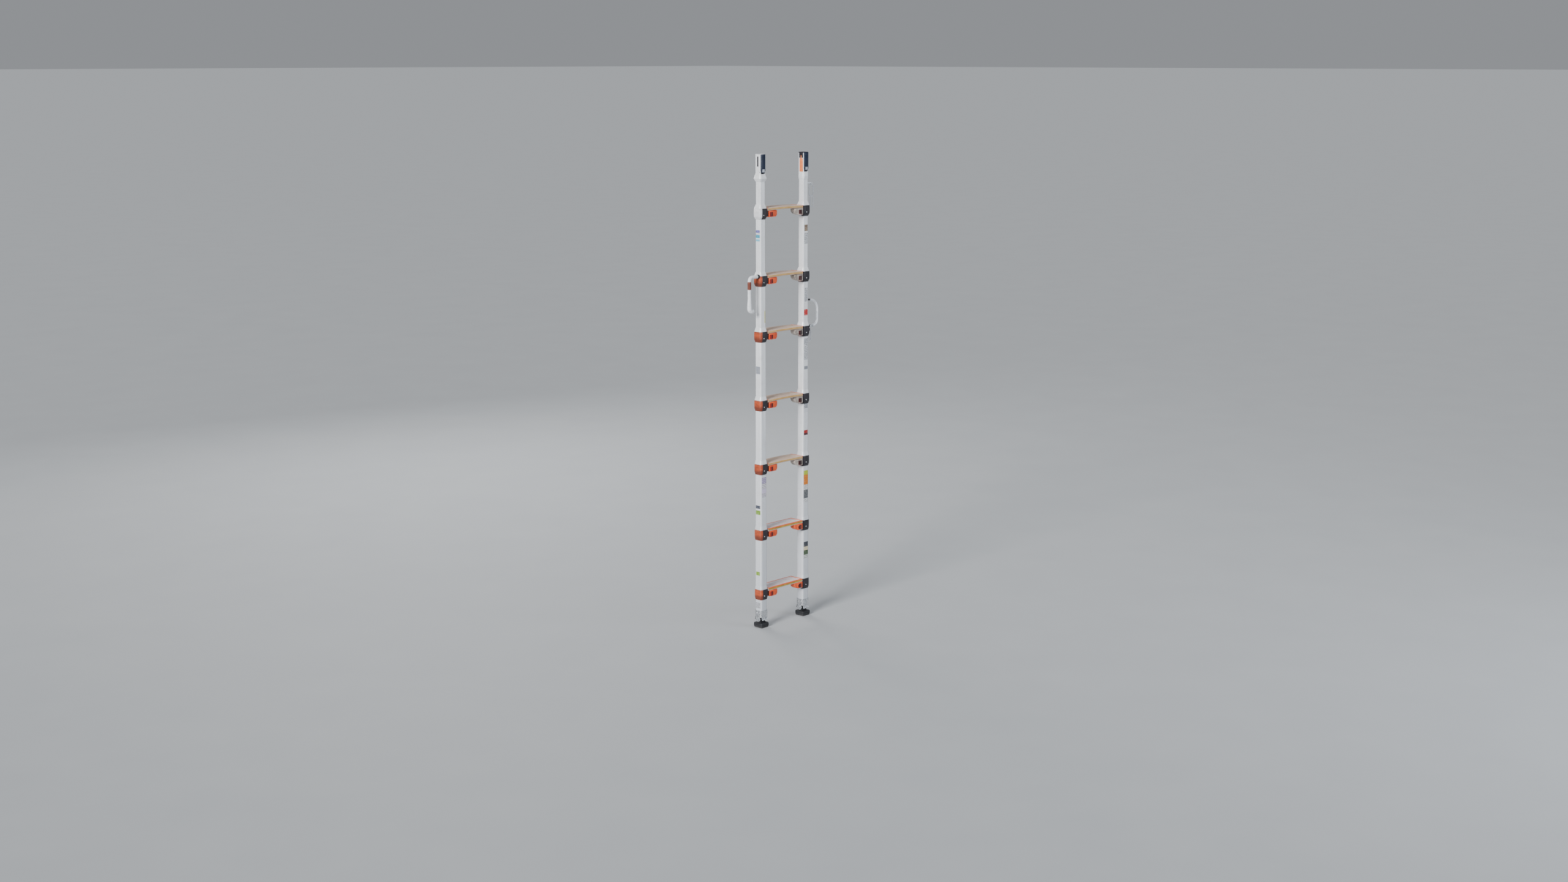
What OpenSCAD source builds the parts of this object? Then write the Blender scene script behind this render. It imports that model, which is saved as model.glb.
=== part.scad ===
// Telescoping multi position ladder: two fixed lower steps, five sliding steps, two sliding top
// posts and two sliding levelling legs. X runs along the steps, -Y is the front, +Z is up.
// Units are millimetres and the floor is z = 0.

/* [Rails] */
// Distance between the two rail centres
rail_spacing = 290; // [270:1:320]
// Outside width of the widest (base) tube
base_tube_w = 42.6; // [40:0.1:46]
// Outside corner radius of the widest tube
base_tube_r = 9.3; // [8.5:0.1:11]
// Wall of every rail tube
tube_wall = 0.9; // [0.9:0.05:1]
// Sliding clearance between two nested tubes, on each side
tube_gap = 0.15; // [0.1:0.05:0.2]
// Length of a tube that stays inside the one below when pulled out
tube_overlap = 60; // [55:1:70]

/* [Steps] */
// Height of the first step's top face
first_step_z = 189; // [180:1:200]
// Rise from step 1 to step 2, both on the base section
rise_2 = 290; // [280:1:300]
// Rise to step 3
rise_3 = 316; // [300:1:330]
// Rise to step 4
rise_4 = 303; // [290:1:330]
// Rise to step 5
rise_5 = 323; // [290:1:330]
// Rise to step 6
rise_6 = 259; // [250:1:300]
// Rise to step 7
rise_7 = 309; // [290:1:330]
// Height of the top fittings above step 7
top_rise = 245; // [235:1:260]
// Depth of a step, front to back
step_depth = 76; // [70:1:80]
// How far a step's middle lies behind the rails' centre line
step_back = 16; // [12:1:20]
// Thickness of a step
step_h = 14; // [12:1:16]
// Wall of the step extrusion
step_wall = 2; // [1.5:0.5:3]

/* [Collars and latches] */
// Outside width of a collar
collar_w = 50; // [49:0.5:54]
// Height of a collar's straight band
collar_h = 40; // [38:1:42]
// Height of the flared mouth above a collar
flare_h = 18; // [14:1:24]
// Length of a latch housing along the step
housing_len = 66; // [62:1:75]
// Height of a latch housing, from the step's top face down
housing_h = 43; // [42:1:46]
// Radius of a lock pin
pin_r = 4; // [3.5:0.5:4.5]
// How far a thumb button slides
button_travel = 8; // [6:1:9]

/* [Fittings] */
// Length of the side hook below its arm
hook_drop = 168; // [150:1:180]
// Radius of the hook's bar
hook_r = 8; // [6:1:9]
// Height of the carrying handle
handle_h = 126; // [110:1:130]
// Radius of the handle's rod
handle_r = 4; // [3:0.5:5]
// How far hook and handle reach from the ladder's middle
side_reach = 240; // [235:1:250]
// Width of a foot pad along the steps
pad_w = 50; // [46:1:54]
// Depth of a foot pad, front to back
pad_d = 54; // [50:1:68]
// Height of a foot pad's block
pad_h = 24; // [20:1:26]

/* [Hidden] */
$fn = 48;

rail_x = rail_spacing / 2;
steps = 7;
rises = [first_step_z, rise_2, rise_3, rise_4, rise_5, rise_6, rise_7];
function sum_to(list, n) = n == 0 ? list[0] : list[n] + sum_to(list, n - 1);
// Height of step k's top face, k = 1 to 7 from the floor
function step_z(k) = sum_to(rises, k - 1);
top_z = step_z(steps) + top_rise;

// Each nested tube is narrower than the one round it by two walls and two clearances.
size_step = 2 * (tube_wall + tube_gap);
// Outside width of tube k: 2 is the base tube, 3 to 7 carry their steps, 8 is a top post
function tube_w(k) = base_tube_w - size_step * (k - 2);
function tube_r(k) = base_tube_r - size_step / 2 * (k - 2);
// The tube that collar k guides: the one above it, or the levelling leg at step 1
function guided(k) = k == 1 ? 3 : k + 1;

collar_r = 12;           // outside corner radius of a collar
collar_taper = 10;       // height of the taper under a collar
split_gap = 0.3;         // gap between separate pieces in one node
clamp_y = -14;           // where a collar splits into its band and its front clamp
bolt_r = 3.2;            // head radius of a clamp bolt
bolt_sunk = 2;           // depth of a clamp bolt's head in the clamp
bolt_x = 6;              // clamp bolt, outward from the rail's centre
pin_z = -34;             // height of the lock pin from the step's top face
collar_lift = -2;        // height of a collar's top rim from the step's top face
pin_hole_r = pin_r + 0.3;
collar_face_x = rail_x - collar_w / 2;

leg_top = 210;           // top of a levelling leg at rest, inside the base tube
leg_bottom = 51;         // bottom end of a leg's tube, just above the foot's pin
base_bottom = first_step_z + collar_lift - collar_h - collar_taper;

//--------------------------------------------------------------- shared shapes

// Square with rounded corners, as a flat shape of squares and circles
module rounded_square(w, r) {
    square([w, w - 2 * r], center = true);
    square([w - 2 * r, w], center = true);
    for (x = [-1, 1], y = [-1, 1]) translate([x * (w / 2 - r), y * (w / 2 - r)]) circle(r);
}

// Straight run of rounded square section from z0 to z1
module run(w, r, z0, z1) {
    translate([0, 0, z0]) linear_extrude(z1 - z0) rounded_square(w, r);
}

// Inside of tube k, cut from z0 to z1
module tube_bore(k, z0, z1) {
    run(tube_w(k) - 2 * tube_wall, tube_r(k) - tube_wall, z0, z1);
}

// Smooth taper between two rounded squares
module taper(w0, r0, z0, w1, r1, z1) {
    hull() {
        translate([0, 0, z0]) linear_extrude(0.2) rounded_square(w0, r0, $fn = 32);
        translate([0, 0, z1 - 0.2]) linear_extrude(0.2) rounded_square(w1, r1, $fn = 32);
    }
}

// Children on the right rail (side = 1) or mirrored onto the left rail (side = -1)
module on_side(side) {
    if (side > 0) children();
    else mirror([1, 0, 0]) children();
}
module both_sides() {
    on_side(1) children();
    on_side(-1) children();
}

// Hole along X through the rail's inner wall only
module pin_hole(z) {
    translate([-collar_w / 2 - 1, 0, z]) rotate([0, 90, 0]) cylinder(r = pin_hole_r, h = collar_w / 2);
}

// Rod from a to b, both [x, z], in the plane y = 0; the rod runs along X or along Z
module rod_x(x0, x1, z, r) {
    translate([min(x0, x1), 0, z]) rotate([0, 90, 0]) cylinder(r = r, h = abs(x1 - x0));
}
module rod_z(x, z0, z1, r) {
    translate([x, 0, min(z0, z1)]) cylinder(r = r, h = abs(z1 - z0));
}

// Quarter bend of a rod: centre [x, z], bend radius and start angle from +X towards +Z
module bend(x, z, bend_r, r, from, sweep = 90) {
    translate([x, 0, z]) rotate([90, 0, 0]) rotate([0, 0, from])
        rotate_extrude(angle = sweep) translate([bend_r, 0]) circle(r);
}

//------------------------------------------------------------------ rail tubes

// Outside of the flared mouth of tube k, which starts at height z
module flare(k, z) {
    taper(collar_w - 3, collar_r - 1.5, z, tube_w(k) + 0.6, tube_r(k) + 0.3, z + flare_h);
}

// Tube k from z0 up to its flared mouth above the step at height z
module flared_tube(k, z0, z) {
    difference() {
        union() {
            run(tube_w(k), tube_r(k), z0, z + collar_lift + 1);
            flare(k, z + collar_lift);
        }
        tube_bore(k, z0 - 1, z + collar_lift + flare_h + 1);
        pin_hole(z + pin_z);
        if (k > 2) pin_hole(step_z(k - 1) + pin_z);
    }
}

module base_tubes() {
    color("gainsboro") both_sides() translate([rail_x, 0, 0]) {
        difference() {
            union() {
                run(tube_w(2), tube_r(2), base_bottom, step_z(2) + collar_lift + 1);
                for (k = [1, 2]) flare(2, step_z(k) + collar_lift);
            }
            tube_bore(2, base_bottom - 1, step_z(2) + collar_lift + flare_h + 1);
            for (k = [1, 2]) pin_hole(step_z(k) + pin_z);
        }
    }
}

module rail_tubes(k) {
    color("whitesmoke") both_sides() translate([rail_x, 0, 0])
        flared_tube(k, step_z(k - 1) - tube_overlap, step_z(k));
}

post_bottom = step_z(steps) - tube_overlap;
fitting_h = 91;              // height of the square top fitting
fitting_z = top_z - fitting_h;

module post(side) {
    color("whitesmoke") on_side(side) translate([rail_x, 0, 0]) {
        difference() {
            run(tube_w(8), tube_r(8), post_bottom, fitting_z);
            tube_bore(8, post_bottom - 1, fitting_z + 1);
            pin_hole(step_z(steps) + pin_z);
        }
        if (side > 0) hanger(tube_w(8) / 2 - 0.5, link_x - rail_x, link_y, link_z);
    }
}

// Bar out to x1 with a plate under its end, drilled along X for a wire loop to hang in
hanger_t = 5;
module hanger(x0, x1, y, z) {
    difference() {
        union() {
            translate([x0, y - 3, z + 4]) cube([x1 - x0, 6, 6]);
            translate([x1 - hanger_t / 2, y - 5, z]) cube([hanger_t, 10, 10]);
            translate([x1, y, z]) rotate([0, 90, 0]) cylinder(r = 5, h = hanger_t, center = true);
        }
        translate([x1, y, z]) rotate([0, 90, 0]) cylinder(r = lug_hole_r, h = hanger_t + 2, center = true);
    }
}

// Flat ear that stands out along X from its root, with a pivot hole on Y through its round end
lug_hole_r = 2.6;
lug_r = 5;
module lug(root, reach, half_t) {
    rotate([90, 0, 0]) difference() {
        union() {
            translate([reach, 0, 0]) cylinder(r = lug_r, h = 2 * half_t, center = true);
            translate([root, -lug_r, -half_t]) cube([reach - root, 2 * lug_r, 2 * half_t]);
        }
        translate([reach, 0, 0]) cylinder(r = lug_hole_r, h = 2 * half_t + 2, center = true);
    }
}

module leg(side) {
    color("lightgray") on_side(side) translate([rail_x, 0, 0]) difference() {
        run(tube_w(3), tube_r(3), leg_bottom, leg_top);
        tube_bore(3, leg_bottom - 1, leg_top + 1);
        pin_hole(step_z(1) + pin_z);
        translate([0, 0, foot_bolt_z]) foot_bolt_holes();
    }
}

//----------------------------------------------------------------------- steps

rib_pitch = 6;   // spacing of the tread ribs
rib_r = 1.2;     // radius of a tread rib
step_r = 4;      // radius of a step's lower edges
// Hollow step extrusion with ribs on top and one web inside
module step_profile() {
    d = step_depth;
    h = step_h;
    cell_w = d / 2 - 1.5 * step_wall;
    difference() {
        union() {
            translate([-d / 2, -h + step_r]) square([d, h - step_r - rib_r]);
            translate([-d / 2 + step_r, -h]) square([d - 2 * step_r, step_r + 1]);
            for (y = [-d / 2 + step_r, d / 2 - step_r]) translate([y, -h + step_r]) circle(step_r);
            for (y = [-d / 2 + step_r : rib_pitch : d / 2 - step_r]) translate([y, -rib_r]) circle(rib_r);
        }
        for (y = [-d / 2 + step_wall, step_wall / 2]) translate([y, -h + step_wall])
            square([cell_w, h - 2 * step_wall - rib_r]);
    }
}

module step(k) {
    color("tan") translate([-collar_face_x, step_back, step_z(k)])
        rotate([90, 0, 90]) linear_extrude(2 * collar_face_x) step_profile();
}

//--------------------------------------------------------------------- collars

// Collar round the tube at step k, before it is split into a band and a front clamp
module collar_shell(k) {
    z = step_z(k) + collar_lift;
    difference() {
        union() {
            run(collar_w, collar_r, z - collar_h, z);
            taper(tube_w(max(k, 2)) + 3, tube_r(max(k, 2)) + 1.5, z - collar_h - collar_taper,
                collar_w, collar_r, z - collar_h + 0.2);
        }
        run(tube_w(max(k, 2)), tube_r(max(k, 2)), z - collar_h - collar_taper - 1, z + 1);
        pin_hole(step_z(k) + pin_z);
    }
}

// Bolt head let into the front clamp of the collar at step height z, standing out as given
module clamp_bolt(z, out) {
    translate([bolt_x, -collar_w / 2 - out, z + pin_z]) rotate([-90, 0, 0])
        cylinder(r = bolt_r, h = bolt_sunk + out);
}

module collars(k) {
    z = step_z(k);
    both_sides() translate([rail_x, 0, 0]) {
        color("darkorange") difference() {
            collar_shell(k);
            translate([-collar_w, clamp_y - 2 * collar_w, z - 2 * collar_w])
                cube([2 * collar_w, 2 * collar_w, 3 * collar_w]);
        }
        color("#1c1c22") difference() {
            collar_shell(k);
            translate([-collar_w, clamp_y - split_gap, z - 2 * collar_w])
                cube([2 * collar_w, 2 * collar_w, 3 * collar_w]);
            clamp_bolt(z, 1);
        }
        color("white") clamp_bolt(z, 1.5);
    }
    // Ears that carry the side hook, the carrying handle and the tie ring
    if (k == hook_step)
        color("darkorange") translate([-rail_x - collar_w / 2, hook_y, hook_arm_z]) hook_boss();
    if (k == handle_step) color("#1c1c22") {
        translate([rail_x + collar_w / 2, handle_y, handle_z]) lug(-1, ear_x - rail_x - collar_w / 2, 4);
        hanger(rail_x + collar_w / 2 - 1, ring_x, ring_y, ring_z);
    }
}

//--------------------------------------------------------------------- latches

housing_main = 56;                   // straight length of the housing before its taper
housing_front = step_depth / 2 - step_back + 2;  // front face, ahead of the rails' centre line
housing_back = 20;                   // back face, behind the rails' centre line
housing_wall = 2.5;
plate_t = 1.8;                       // front plate over the end of the step's edge
plate_rise = 8;
cavity_top = -step_h - housing_wall; // the cavity lies under the step
cavity_bottom = -housing_h + housing_wall;
button_x = collar_face_x - 18;       // button centre
button_t = 2.5;                      // thickness of the thumb pad
button_low = 6;                      // thumb pad below and above the pin's height
button_high = 14;
slot_half = 4.5;                     // half width of the button's stem
stem_half_z = 3;
slider_w = 12;
slider_half_z = 4.5;
slider_gap = 0.4;

// One housing under the right end of step k: a hollow gusset with a slot for the button and a
// front plate that covers the end of the step's edge
module housing(k) {
    x1 = collar_face_x;
    x0 = x1 - housing_main;
    translate([0, 0, step_z(k)]) difference() {
        union() {
            rotate([90, 0, 0]) translate([0, 0, -housing_back])
                linear_extrude(housing_front + housing_back) polygon([
                    [x1, -step_h], [x1, -housing_h + 4], [x1 - 4, -housing_h], [x0 + 10, -housing_h],
                    [x0, -housing_h + 8], [x1 - housing_len, -step_h - 2], [x1 - housing_len, -step_h]
                ]);
            translate([x0, -housing_front, -step_h - 1]) cube([housing_main, plate_t, plate_rise]);
        }
        translate([x0 + 12, -housing_front + housing_wall, cavity_bottom])
            cube([housing_main - 12 - housing_wall, housing_front + housing_back - 4 * housing_wall,
                cavity_top - cavity_bottom]);
        translate([button_x - slot_half - button_travel - slider_gap, -housing_front - 1,
            pin_z - stem_half_z - slider_gap])
            cube([2 * (slot_half + slider_gap) + button_travel, housing_wall + 2,
                2 * (stem_half_z + slider_gap)]);
        translate([x1 - housing_wall - 1, 0, pin_z]) rotate([0, 90, 0])
            cylinder(r = pin_hole_r, h = housing_wall + 2);
    }
}

module latch_housings(k) {
    color(k <= 2 ? "orangered" : "darkorange") both_sides() housing(k);
}

// Thumb button, its slider and the lock pin, as one moulding; the tip stops just clear of the
// guided tube so that every joint stays free to move on its own
module button(side, k) {
    z = step_z(k) + pin_z;
    tip_x = rail_x - tube_w(guided(k)) / 2 - 0.3;
    color("firebrick") on_side(side) {
        translate([button_x - slider_w / 2, -housing_front - button_t, z - button_low])
            cube([slider_w, button_t - slider_gap, button_low + button_high]);
        translate([button_x - slot_half, -housing_front - 1, z - stem_half_z])
            cube([2 * slot_half, housing_front - 4, 2 * stem_half_z]);
        translate([button_x - slider_w / 2, -7, z - slider_half_z])
            cube([slider_w, 13, 2 * slider_half_z]);
        translate([button_x, 0, z]) rotate([0, 90, 0]) cylinder(r = pin_r, h = tip_x - button_x);
    }
}

//----------------------------------------------------------------- top fittings

fitting_w = 33.6;
fitting_r = 5;
fitting_wall = 3;
bulge_w = [48, 37];    // width of the bulge under the left fitting and the right fitting
bulge_h = 34;
bulge_mid = -20;      // height of the bulge's widest line
bulge_r = 9;
window_w = 8;
window_z = 34;
window_h = 46;
catch_w = 26;
catch_h = 76;
catch_t = 4;
catch_gap = 0.4;      // side clearance of the catch in its pocket
catch_rim = 3;        // rim left above the pocket
catch_pin_z = 8;      // pivot height above the square part's underside
catch_pin_y = -13;    // pivot in front of the post's centre
catch_pin_r = 1.6;
catch_barrel_r = 3;

// Square open fitting on a post: slot window in each side, pocket for the catch in front
module top_fitting(side) {
    bulge = bulge_w[side < 0 ? 0 : 1];
    color("gainsboro") on_side(side) translate([rail_x, 0, fitting_z]) difference() {
        union() {
            run(fitting_w, fitting_r, 0, fitting_h);
            taper(tube_w(8) + 3, tube_r(8) + 1, -bulge_h, bulge, bulge_r, bulge_mid);
            taper(bulge, bulge_r, bulge_mid - 0.1, fitting_w, fitting_r, 4);
        }
        run(tube_w(8), tube_r(8), -bulge_h - 1, 0);
        run(tube_w(8) - 2, tube_r(8) - 1, -1, fitting_h + 1);
        for (x = [-1, 1]) translate([x * fitting_w / 2 - fitting_wall, -window_w / 2, window_z])
            cube([2 * fitting_wall, window_w, window_h]);
        translate([-catch_w / 2 - catch_gap, -bulge / 2 - 1, 0])
            cube([catch_w + 2 * catch_gap, bulge / 2, fitting_h - catch_rim]);
        translate([0, catch_pin_y, catch_pin_z]) rotate([0, 90, 0])
            cylinder(r = catch_pin_r + 0.1, h = fitting_w + 2, center = true);
    }
}

// Sprung lever in the front pocket, with its pivot pin moulded on
module top_catch(side) {
    color("midnightblue") on_side(side) translate([rail_x, catch_pin_y, fitting_z + catch_pin_z]) {
        translate([-catch_w / 2, -catch_barrel_r, 0]) cube([catch_w, catch_t, catch_h + 2]);
        rotate([0, 90, 0]) cylinder(r = catch_barrel_r, h = catch_w, center = true);
        rotate([0, 90, 0]) cylinder(r = catch_pin_r, h = fitting_w - 1, center = true);
    }
}

//------------------------------------------------------------------------ feet

foot_pin_z = 44;          // height of the foot's pivot
foot_pin_r = 5;
bracket_t = 3;
bracket_top = 84;
sleeve_bottom = 54;       // lower edge of the shoe's sleeve, where its two cheeks begin
cheek_r = 15;
foot_bolt_z = 70;
foot_bolt_y = 9;
foot_bolt_r = 3;
bolt_head_h = 3;
head_lap = 2;             // how far a bolt's head laps over its shank
module foot_bolt_holes() {
    for (y = [-1, 1]) translate([0, y * foot_bolt_y, 0]) rotate([0, 90, 0])
        cylinder(r = foot_bolt_r, h = 2 * collar_w, center = true);
}

// Pressed steel shoe: a sleeve bolted to the leg, with two cheeks down to the foot's pin
module foot_bracket(side) {
    w = tube_w(3);
    outside = w + 2 * bracket_t;
    color("silver") on_side(side) translate([rail_x, 0, 0]) {
        difference() {
            union() {
                run(outside, tube_r(3) + bracket_t, sleeve_bottom, bracket_top);
                for (s = [-1, 1]) translate([s * (w + bracket_t) / 2, 0, 0]) {
                    translate([0, 0, foot_pin_z]) rotate([0, 90, 0])
                        cylinder(r = cheek_r, h = bracket_t, center = true);
                    translate([0, 0, sleeve_bottom]) cube([bracket_t, 1.7 * cheek_r, 12], center = true);
                }
            }
            run(w, tube_r(3), 0, bracket_top + 1);
            translate([0, 0, foot_pin_z]) rotate([0, 90, 0])
                cylinder(r = foot_pin_r, h = 2 * outside, center = true);
        }
        for (y = [-1, 1]) translate([0, y * foot_bolt_y, foot_bolt_z]) rotate([0, 90, 0]) {
            cylinder(r = foot_bolt_r, h = outside, center = true);
            for (s = [-1, 1]) translate([0, 0, s * (outside + bolt_head_h) / 2])
                cylinder(r = foot_bolt_r + head_lap, h = bolt_head_h, center = true);
        }
    }
}

module foot_pin(side) {
    length = tube_w(3) + 2 * bracket_t;
    color("silver") on_side(side) translate([rail_x, 0, foot_pin_z]) rotate([0, 90, 0]) {
        cylinder(r = foot_pin_r, h = length, center = true);
        for (s = [-1, 1]) translate([0, 0, s * (length + bolt_head_h) / 2])
            cylinder(r = foot_pin_r + head_lap, h = bolt_head_h, center = true);
    }
}

pad_edge_r = 4;       // rounding of the pad's front and back edges
pad_neck_d = 26;      // depth of the neck between the pad and its round head
pad_head_r = 13;
groove_pitch = 9;     // spacing of the grooves under the pad
groove_w = 2;
groove_deep = 2.5;
// Rubber pad with a round head that turns on the pin between the cheeks
module foot_pad(side) {
    head_w = tube_w(3) - 4;
    inner_d = pad_d - 2 * pad_edge_r;
    color("#151517") on_side(side) translate([rail_x, 0, 0]) difference() {
        union() {
            translate([-pad_w / 2, -inner_d / 2, 0]) cube([pad_w, inner_d, pad_h]);
            translate([-pad_w / 2, -pad_d / 2, pad_edge_r]) cube([pad_w, pad_d, pad_h - 2 * pad_edge_r]);
            for (y = [-1, 1], z = [pad_edge_r, pad_h - pad_edge_r]) translate([0, y * inner_d / 2, z])
                rotate([0, 90, 0]) cylinder(r = pad_edge_r, h = pad_w, center = true);
            translate([-head_w / 2, -pad_neck_d / 2, pad_h - 1])
                cube([head_w, pad_neck_d, foot_pin_z - pad_h + 1]);
            translate([0, 0, foot_pin_z]) rotate([0, 90, 0])
                cylinder(r = pad_head_r, h = head_w, center = true);
        }
        translate([0, 0, foot_pin_z]) rotate([0, 90, 0])
            cylinder(r = foot_pin_r + 0.1, h = 2 * pad_w, center = true);
        for (y = [-2 : 2]) translate([-pad_w, y * groove_pitch - groove_w / 2, -1])
            cube([2 * pad_w, groove_w, groove_deep + 1]);
    }
}

//-------------------------------------------------------- hook, handle and links

hook_step = 6;
hook_arm_z = step_z(hook_step) - 4;
hook_x = -side_reach + hook_r + 3;
hook_y = -10;
hook_bend = 18;
hook_pivot_x = -rail_x - collar_w / 2;
boss_len = 8;
boss_r = 10;
hook_neck_r = 5;
curl_r = 16;             // bend radius of the hook's curled end
tail_cone_h = 30;

module hook_boss() {
    rotate([0, -90, 0]) difference() {
        translate([0, 0, -1]) cylinder(r = boss_r, h = boss_len + 1);
        translate([0, 0, 1]) cylinder(r = hook_neck_r + 0.1, h = boss_len);
    }
}

// J-shaped hook: arm out of the boss, straight bar, then a thicker curl back to the rail
module side_hook() {
    tail_r = hook_r + 3;
    curl_z = hook_arm_z - hook_drop + tail_r + curl_r;
    color("whitesmoke") translate([0, hook_y, 0]) {
        rod_x(hook_pivot_x - 1.5, hook_pivot_x - boss_len - 1, hook_arm_z, hook_neck_r);
        rod_x(hook_pivot_x - boss_len - 0.5, hook_x + hook_bend, hook_arm_z, hook_r);
        bend(hook_x + hook_bend, hook_arm_z - hook_bend, hook_bend, hook_r, 90);
        rod_z(hook_x, hook_arm_z - hook_bend, grip_top, hook_r);
        rod_z(hook_x, grip_top, grip_bottom, hook_r - 2.5);
        rod_z(hook_x, grip_bottom, curl_z + tail_cone_h, hook_r);
        translate([hook_x, 0, curl_z]) cylinder(r1 = tail_r, r2 = hook_r, h = tail_cone_h);
        bend(hook_x + curl_r, curl_z, curl_r, tail_r, 180, 100);
    }
}

grip_top = hook_arm_z - hook_bend - 2;
grip_bottom = grip_top - 36;
module hook_grip() {
    color("darkorange") translate([0, hook_y, 0]) difference() {
        rod_z(hook_x, grip_top, grip_bottom, hook_r + 1);
        rod_z(hook_x, grip_top + 1, grip_bottom - 1, hook_r - 2.5);
    }
}

handle_step = 5;
handle_z = step_z(handle_step) - 7;
handle_y = -9;
ear_x = rail_x + collar_w / 2 + 12;    // pivot line of the handle's ear on the collar
ring_x = rail_x + 52;
ring_y = 9;                            // the tie ring hangs behind the handle's plane
ring_z = step_z(handle_step) - 29;
ring_w = 26;
ring_h = 54;
handle_end_x = rail_x + 32;            // the handle's free end stays clear of a collar that slides past
handle_bend = 26;         // radius of the handle's lower bend
handle_crown = 40;        // radius of its upper bend
handle_tip_r = handle_r + 1.2;
fork_t = 4;               // thickness of the handle's fork
fork_half = 8.5;          // half width of the fork
fork_h = 8;

// Bent rod handle that turns on the collar's upper ear and stands up beside the rail
module carry_handle() {
    out_x = side_reach - handle_r;
    top = handle_z + handle_h;
    color("lightgray") translate([0, handle_y, 0]) {
        for (y = [-fork_half, fork_half - fork_t]) {
            translate([ear_x, y + fork_t / 2, handle_z]) rotate([90, 0, 0])
                cylinder(r = lug_r + 1, h = fork_t, center = true);
            translate([ear_x + 4, y, handle_z - fork_h / 2]) cube([6, fork_t, fork_h]);
        }
        translate([ear_x, 0, handle_z]) rotate([90, 0, 0])
            cylinder(r = lug_hole_r - 0.1, h = 2 * fork_half - 2, center = true);
        translate([ear_x + 8, -fork_half, handle_z - fork_h / 2]) cube([5, 2 * fork_half, fork_h]);
        rod_x(ear_x + 12, out_x - handle_bend, handle_z, handle_r);
        bend(out_x - handle_bend, handle_z + handle_bend, handle_bend, handle_r, 270);
        rod_z(out_x, handle_z + handle_bend, top - handle_crown, handle_r);
        bend(out_x - handle_crown, top - handle_crown, handle_crown, handle_r, 0);
        rod_x(handle_end_x, out_x - handle_crown, top, handle_r);
        translate([handle_end_x, 0, top]) sphere(handle_tip_r);
    }
}

wire_r = 2;
// Closed loop of wire, hanging from [x, y, top] with straight sides
module wire_loop(x, y, top, w, h) translate([0, y, 0]) {
    half = w / 2;
    for (s = [-1, 1]) rod_z(x + s * half, top - half, top - h + half, wire_r);
    bend(x, top - half, half, wire_r, 0, 180);
    bend(x, top - h + half, half, wire_r, 180, 180);
}

module tie_ring() {
    color("silver") wire_loop(ring_x, ring_y, ring_z, ring_w, ring_h);
}

link_x = rail_x + 66;
link_y = 11;
link_z = step_z(steps) + 92;
link_lobe = 56;
link_eye = 52;
// Two-lobed wire link that hangs beside the right rail
module snap_link() {
    color("silver") {
        wire_loop(link_x, link_y, link_z, 30, link_lobe);
        wire_loop(link_x + 4, link_y, link_z - link_lobe + wire_r, 20, link_eye);
    }
}

// The model's middle, front to back, lies half way between the foot pads' front and the steps' back
rail_y = -(step_back + step_depth / 2 - pad_d / 2) / 2;

translate([0, rail_y, 0]) {
    base_tubes();
    rail_tubes(3);  // rail_tubes_3
    rail_tubes(4);  // rail_tubes_4
    rail_tubes(5);  // rail_tubes_5
    rail_tubes(6);  // rail_tubes_6
    rail_tubes(7);  // rail_tubes_7
    post(-1);  // post_left
    post(1);  // post_right
    leg(-1);  // leg_left
    leg(1);  // leg_right
    for (k = [1 : steps]) {
        step(k);
        collars(k);
        latch_housings(k);
        button(-1, k);
        button(1, k);
    }
    top_fitting(-1);  // top_fitting_left
    top_fitting(1);  // top_fitting_right
    top_catch(-1);  // top_catch_left
    top_catch(1);  // top_catch_right
    foot_bracket(-1);  // foot_bracket_left
    foot_bracket(1);  // foot_bracket_right
    foot_pin(-1);  // foot_pin_left
    foot_pin(1);  // foot_pin_right
    foot_pad(-1);  // foot_pad_left
    foot_pad(1);  // foot_pad_right
    side_hook();
    hook_grip();
    carry_handle();
    tie_ring();
    snap_link();
}
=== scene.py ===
"""Telescoping multi position ladder: its finishes, its visible pieces and a plain studio.

Everything is in metres in the ladder's own frame: X along the steps, -Y the front, +Z up.
"""

import math

import bpy
import numpy as np
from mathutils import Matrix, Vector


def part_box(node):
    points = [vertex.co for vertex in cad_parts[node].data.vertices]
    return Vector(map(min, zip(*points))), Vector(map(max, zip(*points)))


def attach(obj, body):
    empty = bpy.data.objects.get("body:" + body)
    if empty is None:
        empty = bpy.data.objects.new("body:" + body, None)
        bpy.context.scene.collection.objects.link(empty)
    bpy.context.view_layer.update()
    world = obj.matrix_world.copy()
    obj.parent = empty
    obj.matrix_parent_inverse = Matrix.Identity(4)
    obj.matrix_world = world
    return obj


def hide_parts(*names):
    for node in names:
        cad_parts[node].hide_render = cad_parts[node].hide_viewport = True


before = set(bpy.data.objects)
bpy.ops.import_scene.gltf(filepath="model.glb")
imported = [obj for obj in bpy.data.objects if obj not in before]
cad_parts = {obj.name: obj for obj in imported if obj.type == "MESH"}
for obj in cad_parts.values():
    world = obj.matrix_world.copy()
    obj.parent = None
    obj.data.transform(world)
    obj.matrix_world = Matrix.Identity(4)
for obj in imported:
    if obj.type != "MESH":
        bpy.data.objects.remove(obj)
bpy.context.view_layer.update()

MM = 0.001
STEPS = range(1, 8)
SIDES = {"left": -1, "right": 1}

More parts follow.
